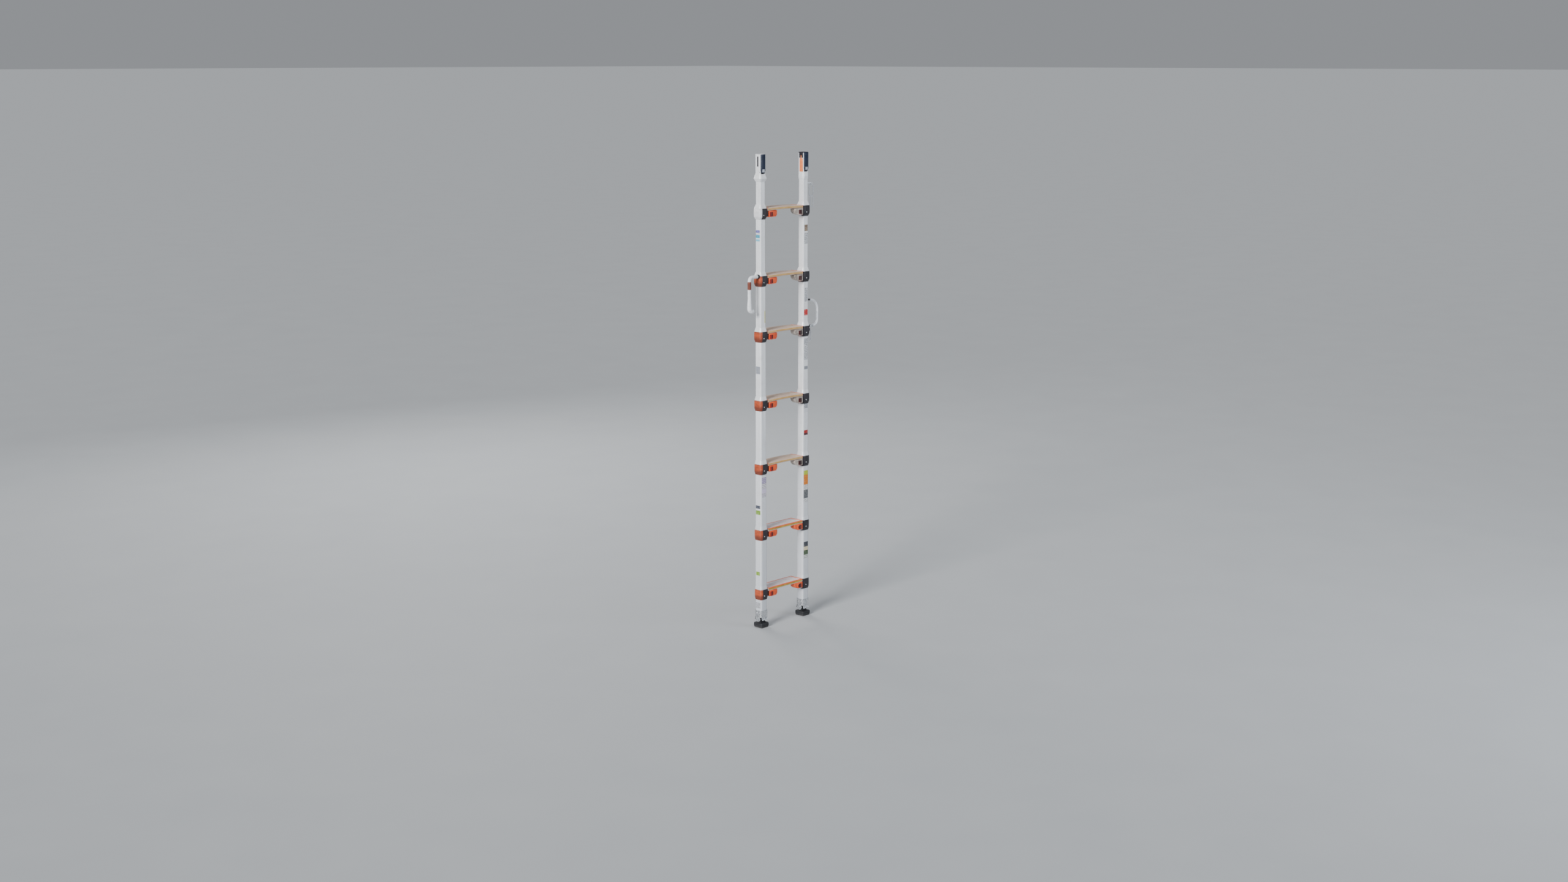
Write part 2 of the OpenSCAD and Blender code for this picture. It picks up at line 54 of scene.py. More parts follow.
# Sizes of the ladder that several pieces share
RAIL_X = (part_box("foot_pad_right")[0][0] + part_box("foot_pad_right")[1][0]) / 2
RAIL_Y = (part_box("foot_pad_right")[0][1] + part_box("foot_pad_right")[1][1]) / 2
STEP_TOP = {k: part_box(f"step_{k}")[1][2] for k in STEPS}
STEP_DEPTH = 76 * MM
STEP_BACK = 16 * MM
STEP_H = 14 * MM
STEP_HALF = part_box("step_1")[1][0]
COLLAR_W = 50 * MM
COLLAR_R = 12 * MM
COLLAR_LIFT = -2 * MM
COLLAR_BAND = 40 * MM
BASE_W = 42.6 * MM
BASE_R = 9.3 * MM
SIZE_STEP = 2.1 * MM
FITTING_W = 33.6 * MM
FOOT_PIN_Z = 44 * MM
SHOE_BOLT_Z = 70 * MM
OUTLINE_POINTS = 64
TIP = 0.02  # mm, radius left at the middle of a turned end
SPANGLE = 5  # mm across one zinc crystal
DASH_ROW = 4.0  # mm from one row of dashes to the next
DASHES_PER_M = 420.0
DUST_TOP = 0.012  # m above the floor where the bloom on the rubber ends


def tube_width(k):
    """Outside width of tube k: 2 is the base, 3 to 7 carry steps, 8 is a top post."""
    return BASE_W - SIZE_STEP * (k - 2)


def tube_corner(k):
    """Outside corner radius of tube k."""
    return BASE_R - SIZE_STEP / 2 * (k - 2)


def body_of_step(k):
    """The body that step k belongs to: steps 1 and 2 are on the base."""
    return "base" if k <= 2 else f"section_{k}"


# ------------------------------------------------------------------ camera and light

CAMERA_YAW = math.radians(46.8)
CAMERA_PITCH = math.radians(10.94)
CAMERA_DISTANCE = 9.259
CAMERA_ASIDE = 0.009
CAMERA_HEIGHT = 2.671
CAMERA_LENS = 45.7


def make_camera():
    """Camera to the front left, above head height and looking a little down."""
    data = bpy.data.cameras.new("camera")
    data.lens = CAMERA_LENS
    data.sensor_width = 36
    data.clip_end = 900
    camera = bpy.data.objects.new("camera", data)
    bpy.context.scene.collection.objects.link(camera)
    along = np.array([math.sin(CAMERA_YAW), math.cos(CAMERA_YAW), 0])
    aside = np.array([math.cos(CAMERA_YAW), -math.sin(CAMERA_YAW), 0])
    camera.location = -along * CAMERA_DISTANCE + aside * CAMERA_ASIDE + np.array([0, RAIL_Y, CAMERA_HEIGHT])
    camera.rotation_euler = (math.pi / 2 - CAMERA_PITCH, 0, -CAMERA_YAW)
    bpy.context.scene.camera = camera


def make_light(name, location, target, size, power, colour=(1, 1, 1)):
    """Square soft box at location that faces target."""
    data = bpy.data.lights.new(name, "AREA")
    data.size = size
    data.energy = power
    data.color = colour
    lamp = bpy.data.objects.new(name, data)
    bpy.context.scene.collection.objects.link(lamp)
    lamp.location = location
    aim(lamp, np.array(target) - np.array(location))


def aim(lamp, direction):
    """Turns a lamp so that it shines along direction."""
    flat = math.hypot(direction[0], direction[1])
    lamp.rotation_euler = (math.atan2(flat, -direction[2]), 0,
                           math.atan2(direction[1], direction[0]) - math.pi / 2)


def make_sun(name, direction, strength, softness_deg, colour=(1, 1, 1)):
    """Broad soft sun along direction, so that the floor is evenly lit out to the horizon."""
    data = bpy.data.lights.new(name, "SUN")
    data.energy = strength
    data.angle = math.radians(softness_deg)
    data.color = colour
    lamp = bpy.data.objects.new(name, data)
    bpy.context.scene.collection.objects.link(lamp)
    aim(lamp, direction)


def make_studio():
    """A pale sky, a broad key light from the left, a cool fill in front and a rim light behind."""
    world = bpy.data.worlds.new("studio")
    world.use_nodes = True
    world.node_tree.nodes["Background"].inputs["Color"].default_value = (*linear("#d9dde3"), 1)
    world.node_tree.nodes["Background"].inputs["Strength"].default_value = 0.42
    bpy.context.scene.world = world
    make_sun("key", (0.93, 0.2, -0.4), 4.6, 20)
    make_light("front", (2.2, -5.2, 2.4), (0, 0, 1.1), 3.0, 95, (0.84, 0.91, 1.0))
    make_light("rim", (1.5, 5.0, 3.5), (0, 0, 1.2), 2.5, 120)


# ------------------------------------------------------------------------- materials


def linear(code):
    """An sRGB hex colour as linear red, green and blue."""
    channels = np.array([int(code[i : i + 2], 16) for i in (1, 3, 5)]) / 255
    return np.where(channels <= 0.04045, channels / 12.92, ((channels + 0.055) / 1.055) ** 2.4).tolist()


def rgba(code):
    """An sRGB hex colour as linear red, green, blue and a full alpha."""
    return (*linear(code), 1.0)


def node(tree, kind, inputs=None, **settings):
    """Adds one node, with its settings and with its inputs set to values or linked to sockets."""
    made = tree.nodes.new(kind)
    for key, value in settings.items():
        setattr(made, key, value)
    for key, value in (inputs or {}).items():
        if isinstance(value, bpy.types.NodeSocket):
            tree.links.new(value, made.inputs[key])
        else:
            made.inputs[key].default_value = value
    return made


def lumps(size_mm, detail=3, stretch=(1, 1, 1), roughness=0.55):
    """Describes a noise pattern: lumps about size_mm across, drawn out along each axis by stretch."""
    return size_mm, detail, stretch, roughness


def pattern_socket(tree, place, pattern):
    """Adds a pattern's nodes and returns the socket that gives its value.

    "height" is metres above the floor, "rise" the share of a collar's height, "crystals" grey zinc spangles,
    "dust" a bloom that fades within 12 mm of the floor and "dashes" rows of plain printed dashes.
    """
    if pattern == "height":
        return node(tree, "ShaderNodeSeparateXYZ", {"Vector": place}).outputs["Z"]
    if pattern == "rise":
        return node(tree, "ShaderNodeAttribute", attribute_name="rise").outputs["Fac"]
    if pattern == "crystals":
        cells = node(tree, "ShaderNodeTexVoronoi", {"Vector": place, "Scale": 1 / (SPANGLE * MM)})
        return node(tree, "ShaderNodeRGBToBW", {"Color": cells.outputs["Color"]}).outputs["Val"]
    if pattern == "dust":
        height = pattern_socket(tree, place, "height")
        fade = node(tree, "ShaderNodeMapRange", {"Value": height, "From Max": DUST_TOP, "To Min": 0.55,
                                                 "To Max": 0.0})
        mottle = pattern_socket(tree, place, lumps(6, 4))
        product = node(tree, "ShaderNodeMath", {0: fade.outputs["Result"], 1: mottle}, operation="MULTIPLY")
        return product.outputs["Value"]
    if pattern == "dashes":
        ink = node(tree, "ShaderNodeAttribute", attribute_name="ink")
        uv = node(tree, "ShaderNodeUVMap", uv_map="UVMap").outputs["UV"]
        up = node(tree, "ShaderNodeSeparateXYZ", {"Vector": uv}).outputs["Y"]
        rows = node(tree, "ShaderNodeMath", {0: up, 1: 1 / DASH_ROW}, operation="MULTIPLY").outputs["Value"]
        row = node(tree, "ShaderNodeMath", {0: rows}, operation="FRACT").outputs["Value"]
        in_row = node(tree, "ShaderNodeMath", {0: row, 1: 0.5}, operation="LESS_THAN").outputs["Value"]
        words = node(tree, "ShaderNodeTexNoise",
                     {"Vector": place, "Scale": DASHES_PER_M, "Detail": 1.0}).outputs["Fac"]
        dark = node(tree, "ShaderNodeMath", {0: words, 1: 0.47}, operation="GREATER_THAN").outputs["Value"]
        both = node(tree, "ShaderNodeMath", {0: in_row, 1: dark}, operation="MULTIPLY").outputs["Value"]
        asked = node(tree, "ShaderNodeMath", {0: both, 1: ink.outputs["Alpha"]}, operation="MULTIPLY")
        return asked.outputs["Value"]
    size_mm, detail, stretch, roughness = pattern
    scale = [1 / (size_mm * MM * s) for s in stretch]
    mapped = node(tree, "ShaderNodeMapping", {"Vector": place, "Scale": scale}).outputs["Vector"]
    settings = {"Vector": mapped, "Scale": 1.0, "Detail": detail, "Roughness": roughness}
    return node(tree, "ShaderNodeTexNoise", settings).outputs["Fac"]


def finish(name, tone, layers, rough=None, relief=None, **sockets):
    """A material whose colour is laid on in layers over a first tone, which is a hex colour or "ink".

    Each layer is a pattern, the pattern's range, how strongly the layer shows at each end of that range, and
    its colour. rough is a pattern, its range and the roughness at each end. relief is a pattern, the bump's
    strength and its height in mm. sockets are the shader's plain values.
    """
    material = bpy.data.materials.new(name)
    material.use_nodes = True
    tree = material.node_tree
    shader = tree.nodes["Principled BSDF"]
    for key, value in sockets.items():
        shader.inputs[key].default_value = value
    place = node(tree, "ShaderNodeTexCoord").outputs["Object"]
    wanted = [part[0] for part in (*layers, rough, relief) if part]
    value_of = {pattern: pattern_socket(tree, place, pattern) for pattern in dict.fromkeys(wanted)}
    if tone == "ink":
        colour = node(tree, "ShaderNodeAttribute", attribute_name="ink").outputs["Color"]
    else:
        colour = rgba(tone)
    for pattern, low, high, at_low, at_high, code in layers:
        ends = {"Value": value_of[pattern], "From Min": low, "From Max": high, "To Min": at_low,
                "To Max": at_high}
        share = node(tree, "ShaderNodeMapRange", ends).outputs["Result"]
        mixed = node(tree, "ShaderNodeMix", {0: share, 6: colour, 7: rgba(code)}, data_type="RGBA")
        colour = mixed.outputs[2]
    tree.links.new(colour, shader.inputs["Base Color"])
    if rough:
        pattern, low, high, at_low, at_high = rough
        ends = {"Value": value_of[pattern], "From Min": low, "From Max": high, "To Min": at_low,
                "To Max": at_high}
        tree.links.new(node(tree, "ShaderNodeMapRange", ends).outputs["Result"], shader.inputs["Roughness"])
    if relief:
        pattern, strength, height_mm = relief
        ends = {"Height": value_of[pattern], "Strength": strength, "Distance": height_mm * MM}
        tree.links.new(node(tree, "ShaderNodeBump", ends).outputs["Normal"], shader.inputs["Normal"])
    return material


def moulded(name, light, dark, roughness, dirt_and_sheen="#6b4a3a", dirt_and_sheen_amount=0.45):
    """Injection-moulded plastic: fine spark-eroded grain, a slight swirl of tone and patches of handled
    grime; on the navy catch these lighter patches are a painted highlight.
    """
    swirl, grime_and_sheen, grain = lumps(28, 4, roughness=0.6), lumps(18, 6, roughness=0.7), lumps(0.9, 2)
    layers = [(swirl, 0.35, 0.65, 0, 1, dark), (grime_and_sheen, 0.5, 0.75, 0, dirt_and_sheen_amount, dirt_and_sheen)]
    return finish(name, light, layers, (swirl, 0.3, 0.7, roughness - 0.06, roughness + 0.1),
                  (grain, 0.2, 0.08), IOR=1.49)


def dusty_step(name, dark, light, scuffed):
    """Mill-finish step extrusion, dulled and tinted by dust trodden into its ribs."""
    grain, scuffs = lumps(1.2, 3, stretch=(60, 1, 1)), lumps(45, 7, roughness=0.75)
    layers = [(grain, 0.3, 0.7, 0, 1, light), (scuffs, 0.48, 0.66, 0, 0.75, scuffed)]
    return finish(name, dark, layers, (grain, 0.25, 0.75, 0.45, 0.62), (grain, 0.25, 0.2), Metallic=0.2)


def powder_coat(name, light, dark):
    """Powder coat: the orange-peel ripple of a thick baked paint, about 2 mm from crest to crest."""
    shade, chips, ripple = lumps(30, 5), lumps(14, 6, roughness=0.7), lumps(2.0, 2)
    layers = [(shade, 0.35, 0.7, 0, 1, dark), (chips, 0.5, 0.75, 0, 0.45, "#8b867e")]
    return finish(name, light, layers, (ripple, 0.3, 0.7, 0.36, 0.5), (ripple, 0.25, 0.15), IOR=1.5)


def make_finishes():
    """Every finish of the ladder, by the name that the pieces use."""
    # Draw lines are about 0.1 mm apart on real tube; they are drawn 1.6 mm apart, so that they show
    draw_lines = lumps(1.6, 2, stretch=(1, 1, 90))
    smears, scratches = lumps(22, 5, stretch=(1, 1, 0.5), roughness=0.65), lumps(9, 6, roughness=0.75)
    return {
        # Pale satin metal with fine lines up its length, with painted shade that makes it greyer near the
        # floor
        "rail": finish(
            "clear_anodised_aluminium_tube", "#e9ebee",
            [(draw_lines, 0.3, 0.7, 0, 1, "#fbfcfd"), ("height", 0.05, 1.25, 0.55, 0, "#a9b0ba"),
             (lumps(60, 6, roughness=0.7), 0.5, 0.75, 0, 0.3, "#c3bfba")],
            (draw_lines, 0.25, 0.75, 0.34, 0.5), (draw_lines, 0.12, 0.15), Metallic=0.25),
        # Warm dusty brown-beige with streaks across the ladder
        "tread": dusty_step("trodden_tan_tread", "#bfa48e", "#e6cfbd", "#c4b2ad"),
        # The same metal, cleaner and pinkish grey
        "low_tread": dusty_step("trodden_grey_tread", "#d0c5c6", "#efe6e6", "#c2adb0"),
        # Brown-orange nylon, rubbed paler in patches and dark along its lower edge
        "collar": finish(
            "orange_nylon_collar", "#bb4f28",
            [(smears, 0.35, 0.68, 0, 1, "#8a3a1c"), (scratches, 0.55, 0.72, 0, 0.5, "#dc8a60"),
             ("rise", 0.12, 0.45, 0.75, 0, "#54281c"), ("rise", 0.86, 1.0, 0, 0.5, "#7a4a3c")],
            (smears, 0.3, 0.7, 0.38, 0.55), (lumps(1.0, 2), 0.2, 0.08), IOR=1.53),
        # Off-white, softly mottled
        "white_collar": moulded("white_nylon_collar", "#e2e2e4", "#cfd0d4", 0.45, "#a09a94"),
        # Nearly black, slightly glossy, with a grey bloom
        "clamp": moulded("black_glass_filled_nylon", "#17181d", "#262129", 0.36, "#54404a", 0.35),
        # Bright clean orange
        "latch": moulded("orange_abs_latch", "#f5632a", "#e04c1c", 0.4, "#8c3018"),
        # Cloudy grey-beige with dark stains
        "pale_latch": moulded("smoked_grey_abs_latch", "#c3b8ad", "#8f857d", 0.35, "#3a3230", 0.9),
        # Pale pink edge under a housing
        "lip": moulded("pale_pink_abs_lip", "#e2c3ba", "#d2a79c", 0.42, "#94685d"),
        # Softer orange line round a tread
        "trim": moulded("orange_pvc_nosing", "#ec7340", "#d9602f", 0.45, "#9a4d30"),
        # Dull yellow line along a tread's front
        "strip": moulded("sand_yellow_pvc_strip", "#d9b06c", "#c79c58", 0.5, "#8d7348"),
        # Greener yellow line under the orange rim
        "low_strip": moulded("olive_yellow_pvc_strip", "#c2a93a", "#a38a2c", 0.5, "#6b5a24"),
        # Dark red bottom of a slot
        "well": moulded("dark_red_acetal_slide", "#5e1410", "#3c0c0a", 0.4, "#2a0a08"),
        # Shiny red
        "button": moulded("red_acetal_button", "#a3221a", "#7c130f", 0.28, "#40100d"),
        # Nearly black maroon with grey grime
        "dark_button": moulded("grimed_maroon_acetal_button", "#43201f", "#2a1718", 0.3, "#6a5a56"),
        # Glossy navy, with a soft painted highlight laid on as lighter patches
        "catch": moulded("navy_gloss_abs_catch", "#1d2c46", "#152036", 0.16, "#46506a", 0.25),
        # Bluish light grey
        "catch_knob": moulded("pale_grey_acetal_knob", "#b9bec8", "#9ea5b2", 0.25, "#6f7480"),
        # Light orange panel
        "liner": moulded("orange_socket_liner", "#f08a55", "#e27740", 0.45, "#a65a38"),
        # Matt black, dusty at the very bottom
        "rubber": finish(
            "black_nitrile_rubber", "#141518",
            [(lumps(14, 5), 0.4, 0.7, 0, 1, "#24262b"), ("dust", 0, 1, 0, 1, "#6e6a66")],
            (lumps(5), 0.3, 0.7, 0.55, 0.78), (lumps(1.4), 0.35, 0.25), IOR=1.52),
        # Bright patchy metal with dull water marks
        "zinc": finish(
            "bright_zinc_plate", "#b9bcc0",
            [("crystals", 0.2, 0.8, 0, 1, "#dfe1e3"), (lumps(12, 6, roughness=0.7), 0.5, 0.75, 0, 0.5,
                                                       "#8d8780")],
            ("crystals", 0, 1, 0.22, 0.42), (lumps(3), 0.15, 0.1), Metallic=0.9),
        # White paint with a soft sheen
        "hook": powder_coat("off_white_powder_coat", "#f2f3f5", "#dfe2e6"),
        # The same, a little greyer
        "rod": powder_coat("light_grey_powder_coat", "#e9ebee", "#cdd1d7"),
        # Coloured blocks, with rows of plain dashes on the ones that ask for them
        "label": finish(
            "printed_vinyl_label", "ink",
            [("dashes", 0, 1, 0, 1, "#3a3c44"), (lumps(8, 6, roughness=0.7), 0.5, 0.75, 0, 0.5, "#c9c6c0")],
            (lumps(10), 0.3, 0.7, 0.24, 0.42), IOR=1.5),
    }


# ----------------------------------------------------------------------- mesh making


def lattice(points, ends="caps"):
    """Faces of a closed grid of points: rows along a path, columns round each ring.

    The ends are closed by one flat face each ("caps") or joined to each other ("loop"). The faces are turned
    outwards, by the sign of the volume inside them.
    """
    rows, columns = points.shape[:2]
    index = np.arange(rows * columns).reshape(rows, columns)
    index = np.concatenate([index, index[:, :1]], axis=1)
    if ends == "loop":
        index = np.concatenate([index, index[:1]], axis=0)
    quads = np.stack([index[:-1, :-1], index[:-1, 1:], index[1:, 1:], index[1:, :-1]],
                     axis=-1).reshape(-1, 4)
    corners = points.reshape(-1, 3)
    faces, triangles = quads.tolist(), [quads[:, [0, 1, 2]], quads[:, [0, 2, 3]]]
    if ends == "caps":
        ring, last = np.arange(columns), (rows - 1) * columns
        faces += [ring[::-1].tolist(), (ring + last).tolist()]
        fan = np.stack([np.zeros(columns - 2, int), ring[1:-1], ring[2:]], axis=1)
        triangles += [fan[:, ::-1], fan + last]
    a, b, c = (corners - corners.mean(axis=0))[np.concatenate(triangles)].transpose(1, 0, 2)
    if np.sum(a * np.cross(b, c)) < 0:
        faces = [face[::-1] for face in faces]
    return corners, faces


def join(*parts):
    """Several (points, faces) as one mesh of separate closed shells."""
    points, faces, start = [], [], 0
    for some_points, some_faces in parts:
        points.append(some_points)
        faces += [[i + start for i in face] for face in some_faces]
        start += len(some_points)
    return np.concatenate(points), faces


def moved(part, offset):
    """A mesh moved by an offset in metres."""
    return part[0] + np.array(offset), part[1]


def add_piece(name, part, finish, body, stands_for=(), bevel_mm=0, sharp_deg=32):
    """Makes one object of a mesh, gives it its finish and body, and lets it stand for CAD nodes.

    Meshes are worked out with y = 0 on the rails' centre line and are put in place here.
    """
    points, faces = part
    mesh = bpy.data.meshes.new(name)
    mesh.from_pydata((points + np.array([0, RAIL_Y, 0])).tolist(), [], faces)
    mesh.validate()
    mesh.shade_smooth()
    mesh.set_sharp_from_angle(angle=math.radians(sharp_deg))
    made = bpy.data.objects.new(name, mesh)
    bpy.context.scene.collection.objects.link(made)
    mesh.materials.append(FINISH[finish])
    if bevel_mm:
        edge = made.modifiers.new("edge", "BEVEL")
        edge.width = bevel_mm * MM
        edge.segments = 3
        edge.limit_method = "ANGLE"
        edge.angle_limit = math.radians(30)
    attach(made, body)
    if stands_for:
        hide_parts(*stands_for)
    return made


def arc(centre, radius, start_deg, end_deg, count):
    """Points of an arc in a plane, as (count, 2)."""
    angle = np.radians(np.linspace(start_deg, end_deg, count))
    return np.stack([centre[0] + radius * np.cos(angle), centre[1] + radius * np.sin(angle)], axis=1)


def rounded_square(width, radius, count=7):
    """Outline of a square with round corners, anticlockwise from the front right corner."""
    inner = width / 2 - radius
    corners = [((inner, -inner), -90), ((inner, inner), 0), ((-inner, inner), 90), ((-inner, -inner), 180)]
    return np.concatenate([arc(centre, radius, start, start + 90, count) for centre, start in corners])


def rounded_box(size, centre, radius, count=5):
    """Closed box with rounded vertical edges and eased top and bottom rims.

    Rings of a rounded rectangle are stacked in Z; near the ends the ring shrinks along a quarter circle.
    """
    half = np.array(size) / 2
    ease = min(radius, half[2] * 0.8)
    turns = np.radians(np.linspace(0, 90, count))
    levels = [(-half[2] + ease * (1 - math.sin(t)), ease * (1 - math.cos(t))) for t in turns[::-1]]
    levels += [(half[2] - ease * (1 - math.sin(t)), ease * (1 - math.cos(t))) for t in turns]
    rings = []
    for z, inset in levels:
        corner = max(radius - inset, radius * 0.15)
        spots = [(1, -1, -90), (1, 1, 0), (-1, 1, 90), (-1, -1, 180)]
        outline = np.concatenate([
            arc((sx * (half[0] - inset - corner), sy * (half[1] - inset - corner)), corner, start,
                start + 90, count)
            for sx, sy, start in spots
        ])
        rings.append(np.column_stack([outline, np.full(len(outline), z)]))
    return moved(lattice(np.array(rings)), centre)


def prism(outline, y_front, y_back):
    """An outline in X and Z, carried straight back along Y as a closed solid."""
    outline = np.array(outline)
    rows = [np.column_stack([outline[:, 0], np.full(len(outline), y), outline[:, 1]])
            for y in (y_front, y_back)]
    return lattice(np.array(rows))


def sweep(path, radii, sides=20, closed=False):
    """Round tube along a path: at each point a circle of that radius, square to the path.

    The circle's directions are carried along the path without twist. Open ends are domed by three rings.
    """
    path = np.array(path, float)
    radii = np.broadcast_to(np.asarray(radii, float), (len(path),)).copy()
    if not closed:
        first, last = path[0] - path[1], path[-1] - path[-2]
        first, last = first / np.linalg.norm(first), last / np.linalg.norm(last)
        dome = np.radians([75, 50, 25])
        path = np.concatenate([
            path[0] + np.outer(np.sin(dome), first) * radii[0], path,
            path[-1] + np.outer(np.sin(dome[::-1]), last) * radii[-1]])
        radii = np.concatenate([np.cos(dome) * radii[0], radii, np.cos(dome[::-1]) * radii[-1]])
        tangent = np.gradient(path, axis=0)
    else:
        tangent = np.roll(path, -1, axis=0) - np.roll(path, 1, axis=0)
    tangent /= np.linalg.norm(tangent, axis=1)[:, None]
    side = np.cross(tangent[0], [0.0, 1.0, 0.0])
    if np.linalg.norm(side) < 1e-3:
        side = np.array([1.0, 0.0, 0.0])
    turn = np.linspace(0, 2 * math.pi, sides, endpoint=False)
    rings = []
    for centre, radius, along in zip(path, radii, tangent):
        side = side - along * side.dot(along)
        side /= np.linalg.norm(side)
        other = np.cross(along, side)
        rings.append(centre + radius * (np.outer(np.cos(turn), side) + np.outer(np.sin(turn), other)))
    return lattice(np.array(rings), ends="loop" if closed else "caps")


def turned(profile, centre, axis, sides=24):
    """A profile of (radius, distance along the axis) points in mm, turned about an axis through centre."""
    profile = np.array(profile, float) * MM
    angle = np.linspace(0, 2 * math.pi, sides, endpoint=False)
    along = np.array(axis, float)
    side = np.cross(along, [0.0, 0.0, 1.0])
    side = np.array([1.0, 0.0, 0.0]) if np.linalg.norm(side) < 1e-6 else side / np.linalg.norm(side)
    other = np.cross(along, side)
    circle = np.outer(np.cos(angle), side) + np.outer(np.sin(angle), other)
    rings = profile[:, 1][:, None, None] * along + profile[:, 0][:, None, None] * circle[None]
    return moved(lattice(rings), centre)


# ---------------------------------------------------------------------------- pieces


def collar_outline(width, radius):
    """Closed outline of a rounded square in 64 points: 9 round each corner and 7 along each straight."""
    inner = width / 2 - radius
    share = np.linspace(0, 1, 9)[1:-1, None]
    corners = [((inner, -inner), -90), ((inner, inner), 0), ((-inner, inner), 90), ((-inner, -inner), 180)]
    rounds = [arc(centre, radius, start, start + 90, 9) for centre, start in corners]
    parts = []
    for here, after in zip(rounds, rounds[1:] + rounds[:1]):
        parts += [here, here[-1] + (after[0] - here[-1]) * share]
    return np.concatenate(parts)


# Where the front clamp begins and ends on the collar's outline; the band is the rest
CLAMP_SPAN = {"left": (56, 75), "right": (46, 73)}


def collar_part(k, x, first, last):
    """One piece of a collar: a closed profile carried round its outline from point first to point last.

    The profile runs from the tube's face out to the collar's face. It tapers in below, swells by a
    sine towards its middle and has a round top edge.
    """
    z = STEP_TOP[k] + COLLAR_LIFT
    height, taper = COLLAR_BAND, 10 * MM
    tube_k = max(k, 2)
    order = np.arange(first, last + 1) % OUTLINE_POINTS
    inner = collar_outline(tube_width(tube_k), tube_corner(tube_k))[order]
    outer = collar_outline(COLLAR_W, COLLAR_R)[order]
    rise = np.linspace(0, 1, 11)
    belly = 0.84 + 0.16 * np.sin(math.pi * (0.1 + 0.8 * rise)) ** 0.7
    side = list(zip(belly, (-height + 2 * MM) + rise * (height - 4 * MM)))
    outline = [(0.0, -height - taper), (0.16, -height - taper), (0.28, -height - taper + 1 * MM),
               (0.66, -height - 2 * MM), (0.8, -height)]
    outline += side + [(0.82, -0.9 * MM), (0.7, -0.2 * MM), (0.55, 0.0), (0.0, 0.0)]
    share, level = np.array(outline).T
    flat = inner[:, None, :] + (outer - inner)[:, None, :] * share[None, :, None]
    height_of = np.broadcast_to(z + level, flat.shape[:2])[:, :, None]
    return lattice(np.concatenate([flat + np.array([x, 0]), height_of], axis=2))


def share_of_height(made, low, high):
    """Stores how far up each point lies, 0 at low and 1 at high, so that a finish can darken the edges."""
    mesh = made.data
    spots = np.zeros(len(mesh.vertices) * 3, np.float32)
    mesh.vertices.foreach_get("co", spots)
    rise = mesh.attributes.new("rise", "FLOAT", "POINT")
    rise.data.foreach_set("value", np.clip((spots[2::3] - low) / (high - low), 0, 1).astype(np.float32))


def clamp_bolt(x, z):
    """Button head bolt with a hollow, in a collar's front face."""
    profile = [(TIP, -1), (3.1, -1), (3.1, 0.8), (2.666, 1.9), (1.55, 2.4), (1.302, 2.3), (1.178, 0.9),
               (TIP, 0.8)]
    return turned(profile, (x, -COLLAR_W / 2 + 0.6 * MM, z), (0, -1, 0), 20)


def make_collars():
    """Orange bands with black front clamps and a bolt in each; the top pair of bands is white."""
    for k in STEPS:
        body = body_of_step(k)
        for side, sign in SIDES.items():
            x = sign * RAIL_X
            colour = "white_collar" if k == 7 else "collar"
            names = [f"collars_{k}"] if side == "left" else []
            first, last = CLAMP_SPAN[side]
            band = collar_part(k, x, last, first + OUTLINE_POINTS)
            made = add_piece(f"collar_band_{side}_{k}", band, colour, body, names)
            share_of_height(made, STEP_TOP[k] + COLLAR_LIFT - COLLAR_BAND, STEP_TOP[k] + COLLAR_LIFT)
            clamp = collar_part(k, x, first, last)
            add_piece(f"collar_clamp_{side}_{k}", clamp, "clamp", body)
            bolt = clamp_bolt(x - 3 * MM, STEP_TOP[k] - 33 * MM)
            add_piece(f"clamp_bolt_{side}_{k}", bolt, "zinc", body)


def step_outline():
    """Outline of a step across its depth: round edges and a ribbed top.

    The ribs are half a cosine wave, 6 mm from crest to crest and 1.2 mm deep.
    """
    half, corner = STEP_DEPTH / 2, 2.5 * MM
    pitch, depth = 6 * MM, 1.2 * MM
    y = np.linspace(half - corner, -half + corner, 131)
    top = np.column_stack([y, -depth * (0.5 - 0.5 * np.cos(2 * math.pi * (y - half + corner) / pitch))])
    front = arc((-half + corner, -corner), corner, 90, 180, 5)
    low_front = arc((-half + corner, -STEP_H + corner), corner, 180, 270, 5)
    low_back = arc((half - corner, -STEP_H + corner), corner, 270, 360, 5)
    back = arc((half - corner, -corner), corner, 0, 90, 5)
    return np.concatenate([top, front[1:], low_front, low_back, back[:-1]])


def step_crown(k, x):
    """Camber of a tread: a parabola, highest in the middle and nearly flat on the two lowest steps."""
    return (2.6 if k > 2 else 0.5) * MM * (1 - (x / STEP_HALF) ** 2) - 0.4 * MM


def make_steps():
    """Ribbed treads with a slight camber, a sand strip on the front edge and, low down, orange rims."""
    outline = step_outline()
    x = np.linspace(-STEP_HALF, STEP_HALF, 25)
    front = STEP_BACK - STEP_DEPTH / 2
    for k in STEPS:
        rows = [np.column_stack([np.full(len(outline), at), STEP_BACK + outline[:, 0],
                                 STEP_TOP[k] + outline[:, 1] + lift])
                for at, lift in zip(x, step_crown(k, x))]
        body = body_of_step(k)
        add_piece(f"tread_{k}", lattice(np.array(rows)), "tread" if k > 2 else "low_tread", body,
                  [f"step_{k}"], sharp_deg=50)
        add_piece(f"edge_strip_{k}", strip_part(k, front), "strip" if k > 2 else "low_strip", body)
        trims = ("front", "back", "left", "right") if k <= 2 else ("left", "right")
        for place in trims:
            add_piece(f"rim_{place}_{k}", rim_part(k, place), "trim", body, bevel_mm=0.3)


def strip_part(k, front):
    """Thin strip along a step's front face, that follows the camber."""
    x = np.linspace(-STEP_HALF + 4 * MM, STEP_HALF - 4 * MM, 17)
    section = np.array([(0, -10.5), (-1, -10), (-1.1, -4.5), (0, -3.6)]) * MM
    rows = [np.column_stack([np.full(4, at), front + section[:, 0], STEP_TOP[k] + section[:, 1] + lift])
            for at, lift in zip(x, step_crown(k, x))]
    return lattice(np.array(rows))


